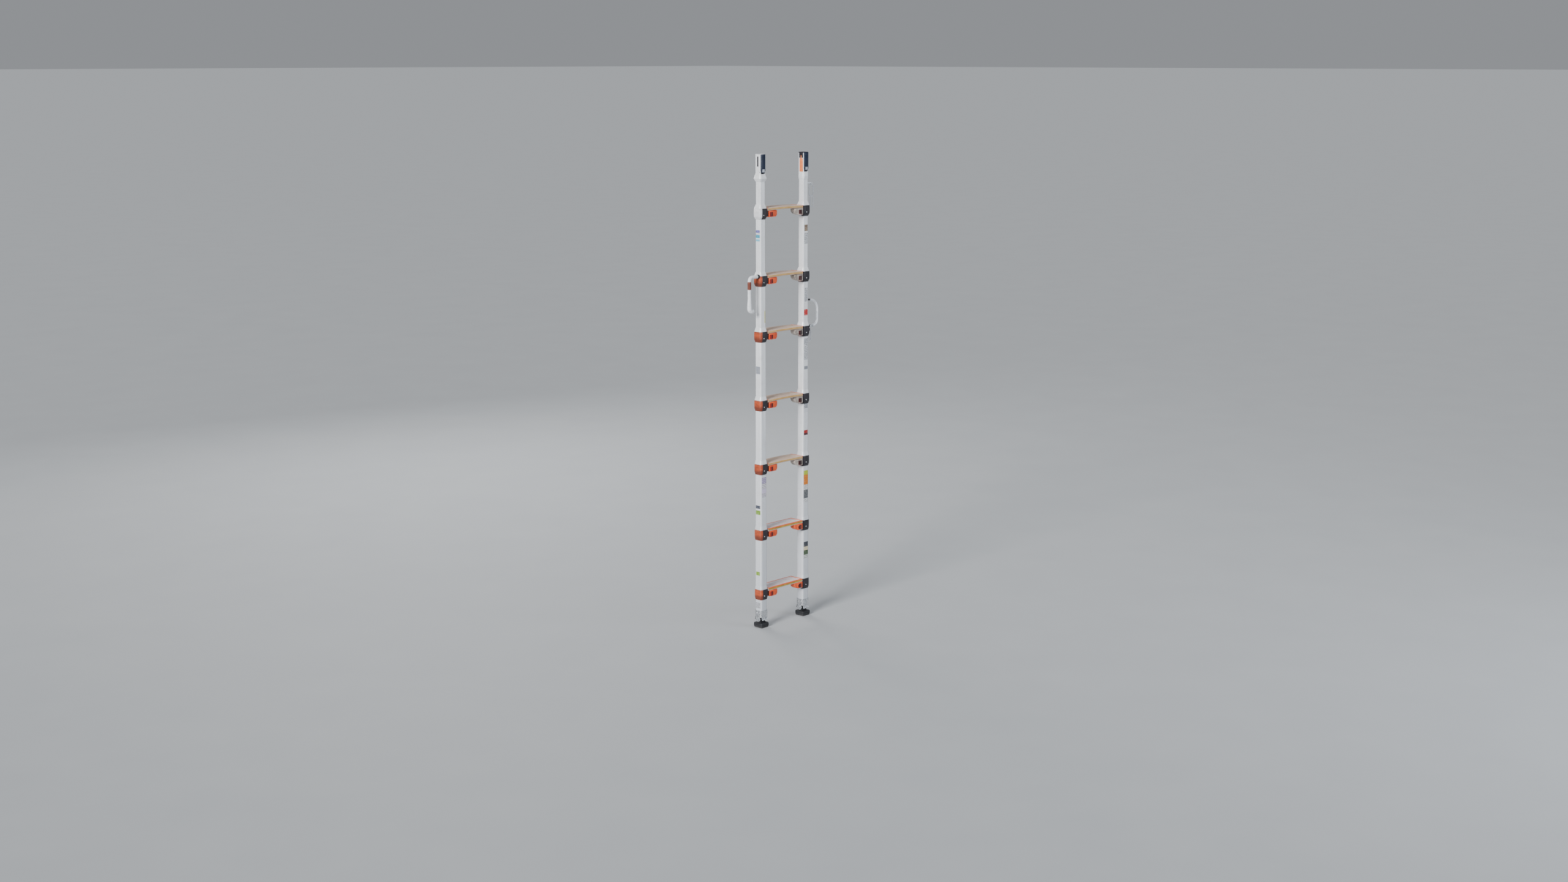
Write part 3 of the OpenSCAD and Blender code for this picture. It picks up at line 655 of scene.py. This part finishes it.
def rim_part(k, place):
    """Orange rim of a step: an L section along the front or back edge, or a flat bar across an end."""
    if place in ("left", "right"):
        sign = SIDES[place]
        width = (7 if k <= 2 else 3) * MM
        centre = (sign * (STEP_HALF - width / 2 - 0.3 * MM), STEP_BACK, STEP_TOP[k] - 3.4 * MM)
        return rounded_box((width, STEP_DEPTH + 1 * MM, 7.6 * MM), centre, 1 * MM)
    sign = 1 if place == "front" else -1
    section = np.array([(0, -4.2), (0, -1.2), (1.2, 0.5), (5, 0.7), (5, -0.4), (2.4, -0.6), (1, -2),
                        (1, -4.2)]) * MM
    rows = []
    for at in np.linspace(-STEP_HALF + 1 * MM, STEP_HALF - 1 * MM, 9):
        y = STEP_BACK + sign * (section[:, 0] - STEP_DEPTH / 2 - 0.9 * MM)
        rows.append(np.column_stack([np.full(len(section), at), y,
                                     STEP_TOP[k] + section[:, 1] + step_crown(k, at)]))
    return lattice(np.array(rows))


HOUSING_FRONT = STEP_BACK - STEP_DEPTH / 2 - 2 * MM
HOUSING_BACK = {"left": 20 * MM, "right": 8 * MM}
HOUSING_LOW = 43 * MM
HOUSING_MAIN = 56 * MM
SPACER = 9 * MM
# In mm: how far each front plate's middle and each lower lip's middle is from the step's end, and its length
PLATE = {"left": (34, 44), "right": (18.5, 34)}
LIP = {"left": (34, 41), "right": (15.5, 26)}


def gusset(k, sign):
    """Latch housing outline under one end of a step, in X and Z.

    It is a block whose inner corner sweeps up to the step in a quarter of an ellipse.
    """
    top = STEP_TOP[k]
    face = STEP_HALF - (SPACER if sign < 0 else 0.3 * MM)
    low, under = top - HOUSING_LOW, top - STEP_H
    turn = np.radians(np.linspace(0, 90, 9))
    reach, rise = (14 * MM, 14 * MM) if sign < 0 else (30 * MM, HOUSING_LOW - STEP_H - 3 * MM)
    tip = STEP_HALF - HOUSING_MAIN - (7 if sign < 0 else 0) * MM
    sweep_x = tip + reach * (1 - np.sin(turn))
    sweep_z = low + rise * (1 - np.cos(turn))
    points = [(face, under), (face, low + 3 * MM), (face - 3 * MM, low)]
    points += list(zip(sweep_x, sweep_z)) + [(tip, under)]
    return [(sign * x, z) for x, z in points]


def ring_frame(x, z, width, height, y, bar, depth):
    """Frame in X and Z: a square bar carried round a rectangle, standing out from y to the front."""
    corners = [(-1, -1), (1, -1), (1, 1), (-1, 1)]
    rows = []
    for sx, sz in corners:
        inner = (x + sx * width / 2, z + sz * height / 2)
        outer = (x + sx * (width / 2 + bar), z + sz * (height / 2 + bar))
        rows.append([(inner[0], y, inner[1]), (outer[0], y, outer[1]),
                     (outer[0], y - depth, outer[1]), (inner[0], y - depth, inner[1])])
    return lattice(np.array(rows), ends="loop")


def round_frame(x, z, y):
    """Round bezel and its dark bottom, on an axis along Y."""
    radius, out = np.array([(9.4, 0), (11.4, 0), (11.4, 1.0), (10.6, 1.5), (9.8, 1.3), (9.4, 0.6)]).T * MM
    turn = np.linspace(0, 2 * math.pi, 33)[:-1, None]
    depth = np.broadcast_to(y - out, (32, 6))
    ring = np.stack([x + radius * np.cos(turn), depth, z + radius * np.sin(turn)], axis=2)
    bottom = turned([(9.3, 0), (9.3, 0.5)], (x, y, z), (0, -1, 0), 12)
    return lattice(ring, ends="loop"), bottom


def make_latches():
    """Latch housings, their front plates and slots, and the red thumb buttons that slide in them."""
    front = HOUSING_FRONT
    for k in STEPS:
        body, top = body_of_step(k), STEP_TOP[k]
        for side, sign in SIDES.items():
            colour = "latch" if side == "left" or k <= 2 else "pale_latch"
            names = [f"latch_housings_{k}"] if side == "left" else []
            back = HOUSING_BACK[side]
            block = prism(gusset(k, sign), front + 0.8 * MM, back)
            add_piece(f"latch_body_{side}_{k}", block, colour, body, names, bevel_mm=2.2)
            inset, span = PLATE[side]
            lip_inset, lip_span = LIP[side]
            plate = rounded_box((span * MM, 2.2 * MM, 27 * MM),
                                (sign * (STEP_HALF - inset * MM), front + 1.0 * MM,
                                 top - 28.5 * MM), 1.0 * MM)
            add_piece(f"latch_plate_{side}_{k}", plate, colour, body)
            slot_x, slot_z = sign * (STEP_HALF - 23 * MM), top - 29.6 * MM
            if side == "right" and k <= 2:
                frame_part, well = round_frame(slot_x, slot_z, front + 0.2 * MM)
            else:
                frame_part = ring_frame(slot_x, slot_z, 19 * MM, 19 * MM, front + 0.3 * MM, 1.4 * MM,
                                        1.0 * MM)
                well = rounded_box((18.6 * MM, 0.8 * MM, 18.6 * MM), (slot_x, front - 0.15 * MM, slot_z),
                                   0.3 * MM)
            add_piece(f"button_frame_{side}_{k}", frame_part, colour, body)
            add_piece(f"button_well_{side}_{k}", well, "well", body)
            lip = rounded_box((lip_span * MM, back - front - 4 * MM, 2.4 * MM),
                              (sign * (STEP_HALF - lip_inset * MM), (back + front) / 2 - 2.2 * MM,
                               top - 42.6 * MM), 1.1 * MM)
            add_piece(f"latch_lip_{side}_{k}", lip, "lip", body)
            if side == "left":
                spacer = rounded_box((SPACER - 0.4 * MM, back - front - 10 * MM, 24 * MM),
                                     (-STEP_HALF + SPACER / 2, (back + front) / 2, top - 27 * MM), 1.5 * MM)
                add_piece(f"latch_spacer_{k}", spacer, "clamp", body)
                cover = rounded_box((2 * MM, back - front - 8 * MM, 23 * MM),
                                    (-STEP_HALF + HOUSING_MAIN + 6.6 * MM, (back + front) / 2,
                                     top - 25 * MM), 0.8 * MM)
                add_piece(f"latch_end_{k}", cover, "well", body)
            thumb_x, thumb_z = sign * (STEP_HALF - 19 * MM), top - 30 * MM
            ridges = [rounded_box((8.6 * MM, 1.2 * MM, 1.6 * MM),
                                  (thumb_x, front - 2.0 * MM, thumb_z + dz * MM), 0.5 * MM)
                      for dz in (-4.6, -1.5, 1.6, 4.7)]
            pad = rounded_box((10 * MM, 1.7 * MM, 13.6 * MM), (thumb_x, front - 1.25 * MM, thumb_z),
                              0.8 * MM)
            add_piece(f"thumb_pad_{side}_{k}", join(pad, *ridges),
                      "dark_button" if colour == "pale_latch" else "button",
                      f"button_{side}_{k}")


def rod_path(corners, bends, y, count=10):
    """Path through corners in X and Z at depth y, with inner corners rounded by quadratic curves."""
    corners = np.array(corners, float)
    path = [corners[0]]
    for before, corner, after, bend in zip(corners[:-2], corners[1:-1], corners[2:], bends):
        start = corner + (before - corner) / np.linalg.norm(before - corner) * bend
        end = corner + (after - corner) / np.linalg.norm(after - corner) * bend
        t = np.linspace(0, 1, count)[:, None]
        path += list((1 - t) ** 2 * start + 2 * t * (1 - t) * corner + t**2 * end)
    path.append(corners[-1])
    dense = [path[0]]
    for a, b in zip(path[:-1], path[1:]):
        pieces = max(1, int(np.linalg.norm(b - a) / (6 * MM)))
        dense += [a + (b - a) * i / pieces for i in range(1, pieces + 1)]
    dense = np.array(dense)
    return np.column_stack([dense[:, 0], np.full(len(dense), y), dense[:, 1]])


def make_hook():
    """J-shaped hook on the left rail: it thickens towards its curled end and carries an orange grip."""
    low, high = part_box("side_hook")
    grip_low, grip_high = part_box("hook_grip")
    bar_r, tail_r, y = 8 * MM, 10.6 * MM, -10 * MM
    x = low[0] + tail_r + 0.4 * MM
    arm_z = high[2] - bar_r
    corners = [(-RAIL_X - COLLAR_W / 2 - 8.6 * MM, arm_z), (x, arm_z), (x, low[2] + 26 * MM)]
    path = rod_path(corners, (22 * MM,), y)
    curl = arc((x + 15 * MM, low[2] + 26 * MM), 15 * MM, 180, 283, 14)[1:]
    path = np.concatenate([path, np.column_stack([curl[:, 0], np.full(len(curl), y), curl[:, 1]])])
    swell = np.clip((low[2] + 70 * MM - path[:, 2]) / (40 * MM), 0, 1)
    radii = bar_r + (tail_r - bar_r) * swell * swell * (3 - 2 * swell)
    add_piece("hook_bar", sweep(path, radii, 24), "hook", "hook", ["side_hook"])
    neck = turned([(TIP, 0), (5, 0), (5, 9), (TIP, 9)],
                  (-RAIL_X - COLLAR_W / 2 - 9 * MM, y, arm_z), (1, 0, 0))
    add_piece("hook_neck", neck, "zinc", "hook")
    boss = turned([(TIP, -1), (10, -1), (10, 6.6), (9.2, 7.8), (5.6, 8), (5.3, 7), (TIP, 7)],
                  (-RAIL_X - COLLAR_W / 2, y, arm_z), (-1, 0, 0), 32)
    add_piece("hook_boss", boss, "clamp", "section_6")
    bar, length = bar_r / MM, (grip_high[2] - grip_low[2]) / MM
    share = np.linspace(0.02, 0.98, 49)
    waves = np.column_stack([bar + 0.5 + 0.4 * np.cos(12 * math.pi * share), share * length])
    profile = np.concatenate([[(0.5, 0), (bar, 0)], waves, [(bar, length), (0.5, length)]])
    sleeve = turned(profile, (x, y, grip_low[2]), (0, 0, 1), 28)
    add_piece("hook_sleeve", sleeve, "collar", "hook", ["hook_grip"])


def make_handle():
    """Bent rod handle on the right rail, doubled by a thinner guard wire, on a forked root."""
    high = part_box("carry_handle")[1]
    y, rod_r = -9 * MM, 4 * MM
    out_x, top, bottom = high[0] - rod_r, high[2] - 5.2 * MM, STEP_TOP[5] - 7 * MM
    ear_x = RAIL_X + COLLAR_W / 2 + 12 * MM
    corners = [(ear_x + 10 * MM, bottom), (out_x, bottom), (out_x, top), (RAIL_X + 32 * MM, top)]
    add_piece("handle_rod", sweep(rod_path(corners, (34 * MM, 54 * MM), y, 16), rod_r, 20), "rod",
              "handle",
              ["carry_handle"])
    inner = [(ear_x + 14 * MM, bottom + 6 * MM), (out_x - 7 * MM, bottom + 6 * MM),
             (out_x - 7 * MM, top - 6 * MM), (RAIL_X + 36 * MM, top - 6 * MM)]
    add_piece("handle_guard_wire", sweep(rod_path(inner, (28 * MM, 46 * MM), y, 14), 1.6 * MM, 12), "rod",
              "handle")
    cheeks = [rounded_box((22 * MM, 3.6 * MM, 11 * MM), (ear_x + 4 * MM, y + dy * MM, bottom), 1.4 * MM)
              for dy in (-6.5, 6.5)]
    bridge = rounded_box((6 * MM, 16 * MM, 10 * MM), (ear_x + 12 * MM, y, bottom), 1.6 * MM)
    add_piece("handle_fork", join(*cheeks, bridge), "zinc", "handle")
    pin = turned([(TIP, 0), (3.6, 0), (3.6, 1.4), (2.5, 1.6), (2.5, 17.4), (3.6, 17.6), (3.6, 19),
                  (TIP, 19)], (ear_x, y - 9.5 * MM, bottom), (0, 1, 0))
    add_piece("handle_pin", pin, "zinc", "handle")
    ear = rounded_box((15 * MM, 7.6 * MM, 9.6 * MM), (ear_x - 4.5 * MM, y, bottom), 1.6 * MM)
    add_piece("handle_ear", ear, "clamp", "section_5")
    knob = turned([(TIP, 0), (3, 0.3), (5, 2), (5.2, 4), (4.2, 7), (4, 9), (TIP, 9)],
                  (RAIL_X + 27 * MM, y, top), (1, 0, 0))
    add_piece("handle_tip", knob, "clamp", "handle")


def loop_path(x, y, top, width, height, waist=0.0, count=14):
    """Closed stadium in X and Z that hangs from its top; its straight sides may draw in by waist."""
    half = width / 2
    upper = arc((x, top - half), half, 0, 180, count)
    lower = arc((x, top - height + half), half, 180, 360, count)
    down = np.linspace(top - half, top - height + half, 9)[1:-1]
    draw = half - waist * np.sin(np.linspace(0, math.pi, 9)[1:-1])
    left, right = np.column_stack([x - draw, down]), np.column_stack([x + draw, down[::-1]])
    flat = np.concatenate([upper, left, lower, right])
    return np.column_stack([flat[:, 0], np.full(len(flat), y), flat[:, 1]])


def hanger_part(x0, x1, y, z):
    """Bar with a plate under its end, that a wire loop hangs in."""
    bar = rounded_box((x1 - x0, 6 * MM, 5.6 * MM), ((x0 + x1) / 2, y, z + 7 * MM), 1.2 * MM)
    plate = rounded_box((5 * MM, 10 * MM, 14.5 * MM), (x1, y, z + 2.5 * MM), 1.8 * MM)
    return join(bar, plate)


def make_links():
    """Wire ring on collar 5 in its hanger, and a two-lobed wire link on the right post."""
    ring_x, ring_y, ring_z = RAIL_X + 52 * MM, 9 * MM, STEP_TOP[5] - 29 * MM
    link_x, link_y, link_z = RAIL_X + 66 * MM, 11 * MM, STEP_TOP[7] + 92 * MM
    wire = 2.3 * MM
    ring = sweep(loop_path(ring_x, ring_y, ring_z, 26 * MM, 54 * MM, 3 * MM), wire, 12, closed=True)
    add_piece("tie_ring_wire", ring, "rod", "ring", ["tie_ring"])
    upper = sweep(loop_path(link_x, link_y, link_z, 30 * MM, 56 * MM, 2 * MM), wire * 1.1, 12, closed=True)
    lower = sweep(loop_path(link_x + 4 * MM, link_y, link_z - 54 * MM, 20 * MM, 52 * MM), wire * 1.1, 12,
                  closed=True)
    add_piece("snap_link_wire", join(upper, lower), "rod", "link", ["snap_link"])
    add_piece("ring_hanger", hanger_part(RAIL_X + 24 * MM, ring_x, ring_y, ring_z), "clamp", "section_5")


def make_top_fittings():
    """Details of the open fittings: knobs on the catches, orange liner, rim and window edges."""
    for side, sign in SIDES.items():
        low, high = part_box(f"top_catch_{side}")
        x = sign * RAIL_X
        face = low[1] - RAIL_Y
        cover = rounded_box((FITTING_W - 3 * MM, 2.2 * MM, 77 * MM),
                            (x, face - 1.2 * MM, high[2] - 35 * MM), 1.0 * MM)
        add_piece(f"catch_cover_{side}", cover, "catch", f"catch_{side}")
        knob = rounded_box((15 * MM, 5 * MM, 14 * MM), (x + 3 * MM, face - 2.0 * MM, low[2] + 10 * MM),
                           2.2 * MM)
        add_piece(f"catch_knob_{side}", knob, "catch_knob", f"catch_{side}")
        ribs = [rounded_box((19 * MM, 1.6 * MM, 1.6 * MM), (x, face - 2.1 * MM, high[2] - d * MM), 0.5 * MM)
                for d in (8, 12, 16, 20)]
        add_piece(f"catch_ribs_{side}", join(*ribs), "catch", f"catch_{side}")
        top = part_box(f"top_fitting_{side}")[1][2]
        outline = rounded_square(FITTING_W + 1.2 * MM, 5.4 * MM, 8)
        inner = rounded_square(FITTING_W - 5.8 * MM, 2.8 * MM, 8)
        section = ((inner, 4), (outline, 4), (outline, 1), (outline * 0.97, 0), (inner, 0))
        rows = [np.column_stack([flat, np.full(len(flat), top - drop * MM)]) for flat, drop in section]
        rim = lattice(np.array(rows), ends="loop")
        add_piece(f"socket_rim_{side}", moved(rim, (x, 0, 0)),
                  "clamp" if side == "right" else "white_collar",
                  f"post_{side}")
    x = RAIL_X - FITTING_W / 2
    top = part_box("top_fitting_right")[1][2]
    liner = rounded_box((1.0 * MM, 21 * MM, 62 * MM), (x - 0.3 * MM, -2.5 * MM, top - 60 * MM), 0.4 * MM)
    add_piece("socket_liner_right", liner, "liner", "post_right")
    # Black plate at the top of the socket's inside: painted shade under the rim
    shade = rounded_box((1.0 * MM, 24 * MM, 24 * MM), (x - 0.3 * MM, -1.5 * MM, top - 15 * MM), 0.4 * MM)
    add_piece("socket_shade_right", shade, "clamp", "post_right")
    tongue = rounded_box((1.0 * MM, 5 * MM, 20 * MM), (x - 0.6 * MM, -2 * MM, top - 26 * MM), 0.4 * MM)
    add_piece("liner_tongue_right", tongue, "liner", "post_right")
    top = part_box("top_fitting_left")[1][2]
    insert = rounded_box((2.4 * MM, 7.6 * MM, 45.6 * MM),
                         (-RAIL_X - FITTING_W / 2 + 0.6 * MM, 0, top - 34 * MM), 1.0 * MM)
    add_piece("window_insert_left", insert, "clamp", "post_left")
    slot = rounded_box((0.8 * MM, 5 * MM, 17 * MM),
                       (RAIL_X - tube_width(8) / 2, -5 * MM, STEP_TOP[7] + 128 * MM), 0.3 * MM)
    add_piece("post_slot_right", slot, "clamp", "post_right")


def hex_bolt(x, y, z, out):
    """Hexagon head with a washer, its axis along X."""
    head = turned([(TIP, 0), (4.9, 0), (5.2, 0.6), (5.2, 3), (4.4, 3.8), (TIP, 3.9)],
                  (x + out * 0.8 * MM, y, z), (out, 0, 0), 6)
    washer = turned([(TIP, -0.3), (6.8, -0.3), (6.8, 0.7), (6.3, 1.0), (TIP, 1.0)], (x, y, z),
                    (out, 0, 0), 24)
    return join(head, washer)


def foot_part(x):
    """Rubber pad: a block with swelling sides, tread lugs under it, a neck, and a round head on top."""
    low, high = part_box("foot_pad_right")
    width, depth = high[0] - low[0], high[1] - low[1]
    block = rounded_box((width, depth, 21 * MM), (x, 0, 13.5 * MM), 4.5 * MM, 7)
    lugs = [rounded_box((width - 5 * MM, 6.4 * MM, 6 * MM), (x, y * MM, 3 * MM), 1.2 * MM)
            for y in (-21.5, -13, -4.4, 4.4, 13, 21.5)]
    belt = rounded_box((width - 0.2 * MM, depth - 0.2 * MM, 3 * MM), (x, 0, 13 * MM), 1.4 * MM)
    neck = rounded_box((35 * MM, 22 * MM, 24 * MM), (x, 0, 32 * MM), 3 * MM)
    head = turned([(TIP, -18), (11.5, -18), (13, -16.5), (13, 16.5), (11.5, 18), (TIP, 18)],
                  (x, 0, FOOT_PIN_Z), (1, 0, 0), 32)
    return join(block, belt, neck, head, *lugs)


def shoe_skirt(x, out):
    """Flared lip under the shoe, in front (out -1) or behind (1), that turns outwards in a parabola."""
    drop = np.linspace(0, 1, 9)
    z = (57 - 20 * drop) * MM
    y = (20.6 + 4.2 * drop**2) * MM
    section = np.concatenate([np.column_stack([y, z]), np.column_stack([y - 1.4 * MM, z + 0.3 * MM])[::-1]])
    rows = [np.column_stack([np.full(18, x + at), out * section[:, 0], section[:, 1]])
            for at in np.linspace(-19, 19, 7) * MM]
    return lattice(np.array(rows))


def make_feet():
    """Rubber pads under the bolted steel shoes."""
    for side, sign in SIDES.items():
        x = sign * RAIL_X
        add_piece(f"rubber_foot_{side}", foot_part(x), "rubber", f"foot_{side}",
                  [f"foot_pad_{side}"])
        reach = tube_width(3) / 2 + 3 * MM
        bolts = [hex_bolt(x + out * reach, y * MM, SHOE_BOLT_Z, out) for out in (-1, 1) for y in (-9, 9)]
        add_piece(f"foot_bolts_{side}", join(*bolts), "zinc", f"leg_{side}")
        skirts = [shoe_skirt(x, out) for out in (-1, 1)]
        add_piece(f"shoe_skirts_{side}", join(*skirts), "zinc", f"leg_{side}")
        rim = collar_outline(tube_width(3) + 6.8 * MM, tube_corner(3) + 3.4 * MM)
        bead = [np.column_stack([rim * s + np.array([x, 0]), np.full(OUTLINE_POINTS, z * MM)])
                for s, z in ((0.97, 54), (1.0, 54.4), (1.02, 56.5), (1.0, 58.6), (0.97, 59))]
        add_piece(f"shoe_bead_{side}", lattice(np.array(bead)), "zinc", f"leg_{side}")


# ---------------------------------------------------------------------------- labels

# Plain coloured labels: rail side, face, body, tube, sideways shift and width in mm, then blocks
# from the bottom up, each with its top height in mm, its colour and whether it carries dashes
LABELS = [
    ("left", "outer", "section_7", 7, -2, 27, 1837,
     [(1846, "#70b6cd", 0), (1852, "#dfe6ea", 0), (1866, "#2990ab", 0), (1876, "#dfe3ea", 1),
      (1888, "#706bba", 1)]),
    ("left", "outer", "section_5", 5, 0, 27, 1221, [(1256, "#8a8e97", 0)]),
    ("left", "front", "section_6", 6, 11, 4, 1459, [(1516, "#cdc636", 0)]),
    ("left", "front", "section_3", 3, 0, 30, 636,
     [(655, "#e6e2ee", 1), (676, "#d3c9e2", 0), (700, "#ece9f2", 1), (730, "#c3b6dc", 1)]),
    ("left", "outer", "section_3", 3, 0, 29, 580, [(595, "#424754", 0)]),
    ("left", "outer", "section_3", 3, 0, 30, 551, [(571, "#70922e", 0)]),
    ("left", "outer", "base", 2, 0, 24, 256, [(274, "#779830", 0)]),
    ("left", "outer", "leg_left", 3, 0, 29, 96, [(122, "#b4b6bb", 1)]),
    ("right", "front", "section_7", 7, 2, 22, 1866, [(1884, "#ae9579", 1), (1896, "#88725b", 1)]),
    ("right", "front", "section_7", 7, 2, 22, 1806, [(1858, "#d9dce0", 1)]),
    ("right", "front", "section_6", 6, 2, 21, 1534, [(1566, "#d3d6dc", 1), (1600, "#dadde2", 1)]),
    ("right", "front", "section_6", 6, 1, 24, 1467, [(1471, "#dd9f99", 0), (1497, "#c71819", 0)]),
    ("right", "front", "section_5", 5, 0, 26, 1257, [(1336, "#dcdfe3", 1), (1359, "#c9ccd2", 1)]),
    ("right", "front", "section_5", 5, 1, 24, 1211, [(1226, "#8b8f98", 0)]),
    ("right", "front", "section_4", 4, 0, 26, 1002, [(1024, "#d6d9de", 0), (1046, "#b9bdc5", 1)]),
    ("right", "front", "section_4", 4, 0, 26, 953, [(999, "#e1e3e7", 0)]),
    ("right", "front", "section_4", 4, 0, 27, 893, [(903, "#56202a", 0), (917, "#ac1815", 0)]),
    ("right", "front", "section_3", 3, 0, 30, 563,
     [(584, "#eef0f1", 1), (626, "#5c5f63", 0), (651, "#eef0ee", 1), (699, "#da7901", 0),
      (720, "#b5c520", 0)]),
    ("right", "front", "base", 2, 0, 30, 287,
     [(305, "#d7dcd6", 1), (327, "#3d5434", 0), (345, "#dacdaa", 0), (369, "#353a44", 0)]),
]


def make_label(index, side, face, body, tube, shift, width, bottom, blocks):
    """Thin patch that follows a tube's face: a strip of the rounded square, carried up through its blocks.

    Its outer skin is 0.11 mm off the tube and its inner skin 0.02 mm, so that it passes inside the next tube.
    """
    w, r = tube_width(tube), tube_corner(tube)
    flat = w / 2 - r
    along = np.linspace(-width / 2, width / 2, 13) * MM + shift * MM
    over = np.clip(np.abs(along) - flat, 0, None) / r
    sideways = np.sign(along) * (np.minimum(np.abs(along), flat) + r * np.sin(over))
    skins = []
    for off in (0.11 * MM, 0.02 * MM):
        radius = r + off
        sideways = np.sign(along) * (np.minimum(np.abs(along), flat) + radius * np.sin(over))
        outwards = flat + radius * np.cos(over)
        if face == "front":
            skins.append(np.column_stack([sideways, -outwards]))
        else:
            skins.append(np.column_stack([-outwards, -sideways]))
    ring = np.concatenate([skins[0], skins[1][::-1]]) + np.array([SIDES[side] * RAIL_X, 0])
    heights = [bottom]
    for top, _, _ in blocks:
        heights += [top - 0.01, top]
    rows = np.array([np.column_stack([ring, np.full(len(ring), z * MM)]) for z in heights])
    part = lattice(rows)
    made = add_piece(f"label_{index}", part, "label", body)
    mesh = made.data
    ink = mesh.attributes.new("ink", "FLOAT_COLOR", "POINT")
    colours = np.zeros((len(rows), len(ring), 4), np.float32)
    for row in range(len(rows)):
        _, code, dashes = blocks[min(row // 2, len(blocks) - 1)]
        colours[row] = (*linear(code), float(dashes))
    ink.data.foreach_set("color", colours.reshape(-1))
    uv = mesh.uv_layers.new(name="UVMap")
    corner = np.zeros(len(mesh.loops), np.int32)
    mesh.loops.foreach_get("vertex_index", corner)
    spot = np.zeros((len(rows), len(ring), 2), np.float32)
    spot[:, :, 0] = np.concatenate([along, along[::-1]]) / MM
    spot[:, :, 1] = np.array(heights)[:, None]
    uv.data.foreach_set("uv", spot.reshape(-1, 2)[corner].reshape(-1))


def make_labels():
    """Every label on the rails."""
    for index, label in enumerate(LABELS, 1):
        make_label(index, *label)


# --------------------------------------------------------------- CAD nodes' finishes


def paint_nodes():
    """Gives every CAD node that stays in view its finish."""
    finish_of = {"rail_tubes": "rail", "base_tubes": "rail", "post_": "rail", "leg_": "rail",
                 "button_left": "button", "button_right": "dark_button", "top_fitting": "rail",
                 "top_catch": "catch", "foot_bracket": "zinc", "foot_pin": "zinc"}
    for name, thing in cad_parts.items():
        for start, wanted in finish_of.items():
            if name.startswith(start):
                thing.data.materials.clear()
                thing.data.materials.append(FINISH[wanted])


def make_floor():
    """Pale floor, wide enough to fill the view, with a faint mottle."""
    mesh = bpy.data.meshes.new("floor")
    half = 400.0
    mesh.from_pydata([(-half, -half, 0), (half, -half, 0), (half, half, 0), (-half, half, 0)], [],
                     [(0, 1, 2, 3)])
    floor = bpy.data.objects.new("floor", mesh)
    bpy.context.scene.collection.objects.link(floor)
    # Even light grey with a barely visible mottle
    mesh.materials.append(finish("pale_matt_floor", "#b6b9bc", [(lumps(400, 2), 0, 1, 0, 1, "#bdc0c2")],
                                 Roughness=0.7))


make_camera()
FINISH = make_finishes()
make_studio()
make_floor()
paint_nodes()
make_collars()
make_steps()
make_latches()
make_hook()
make_handle()
make_links()
make_top_fittings()
make_feet()
make_labels()
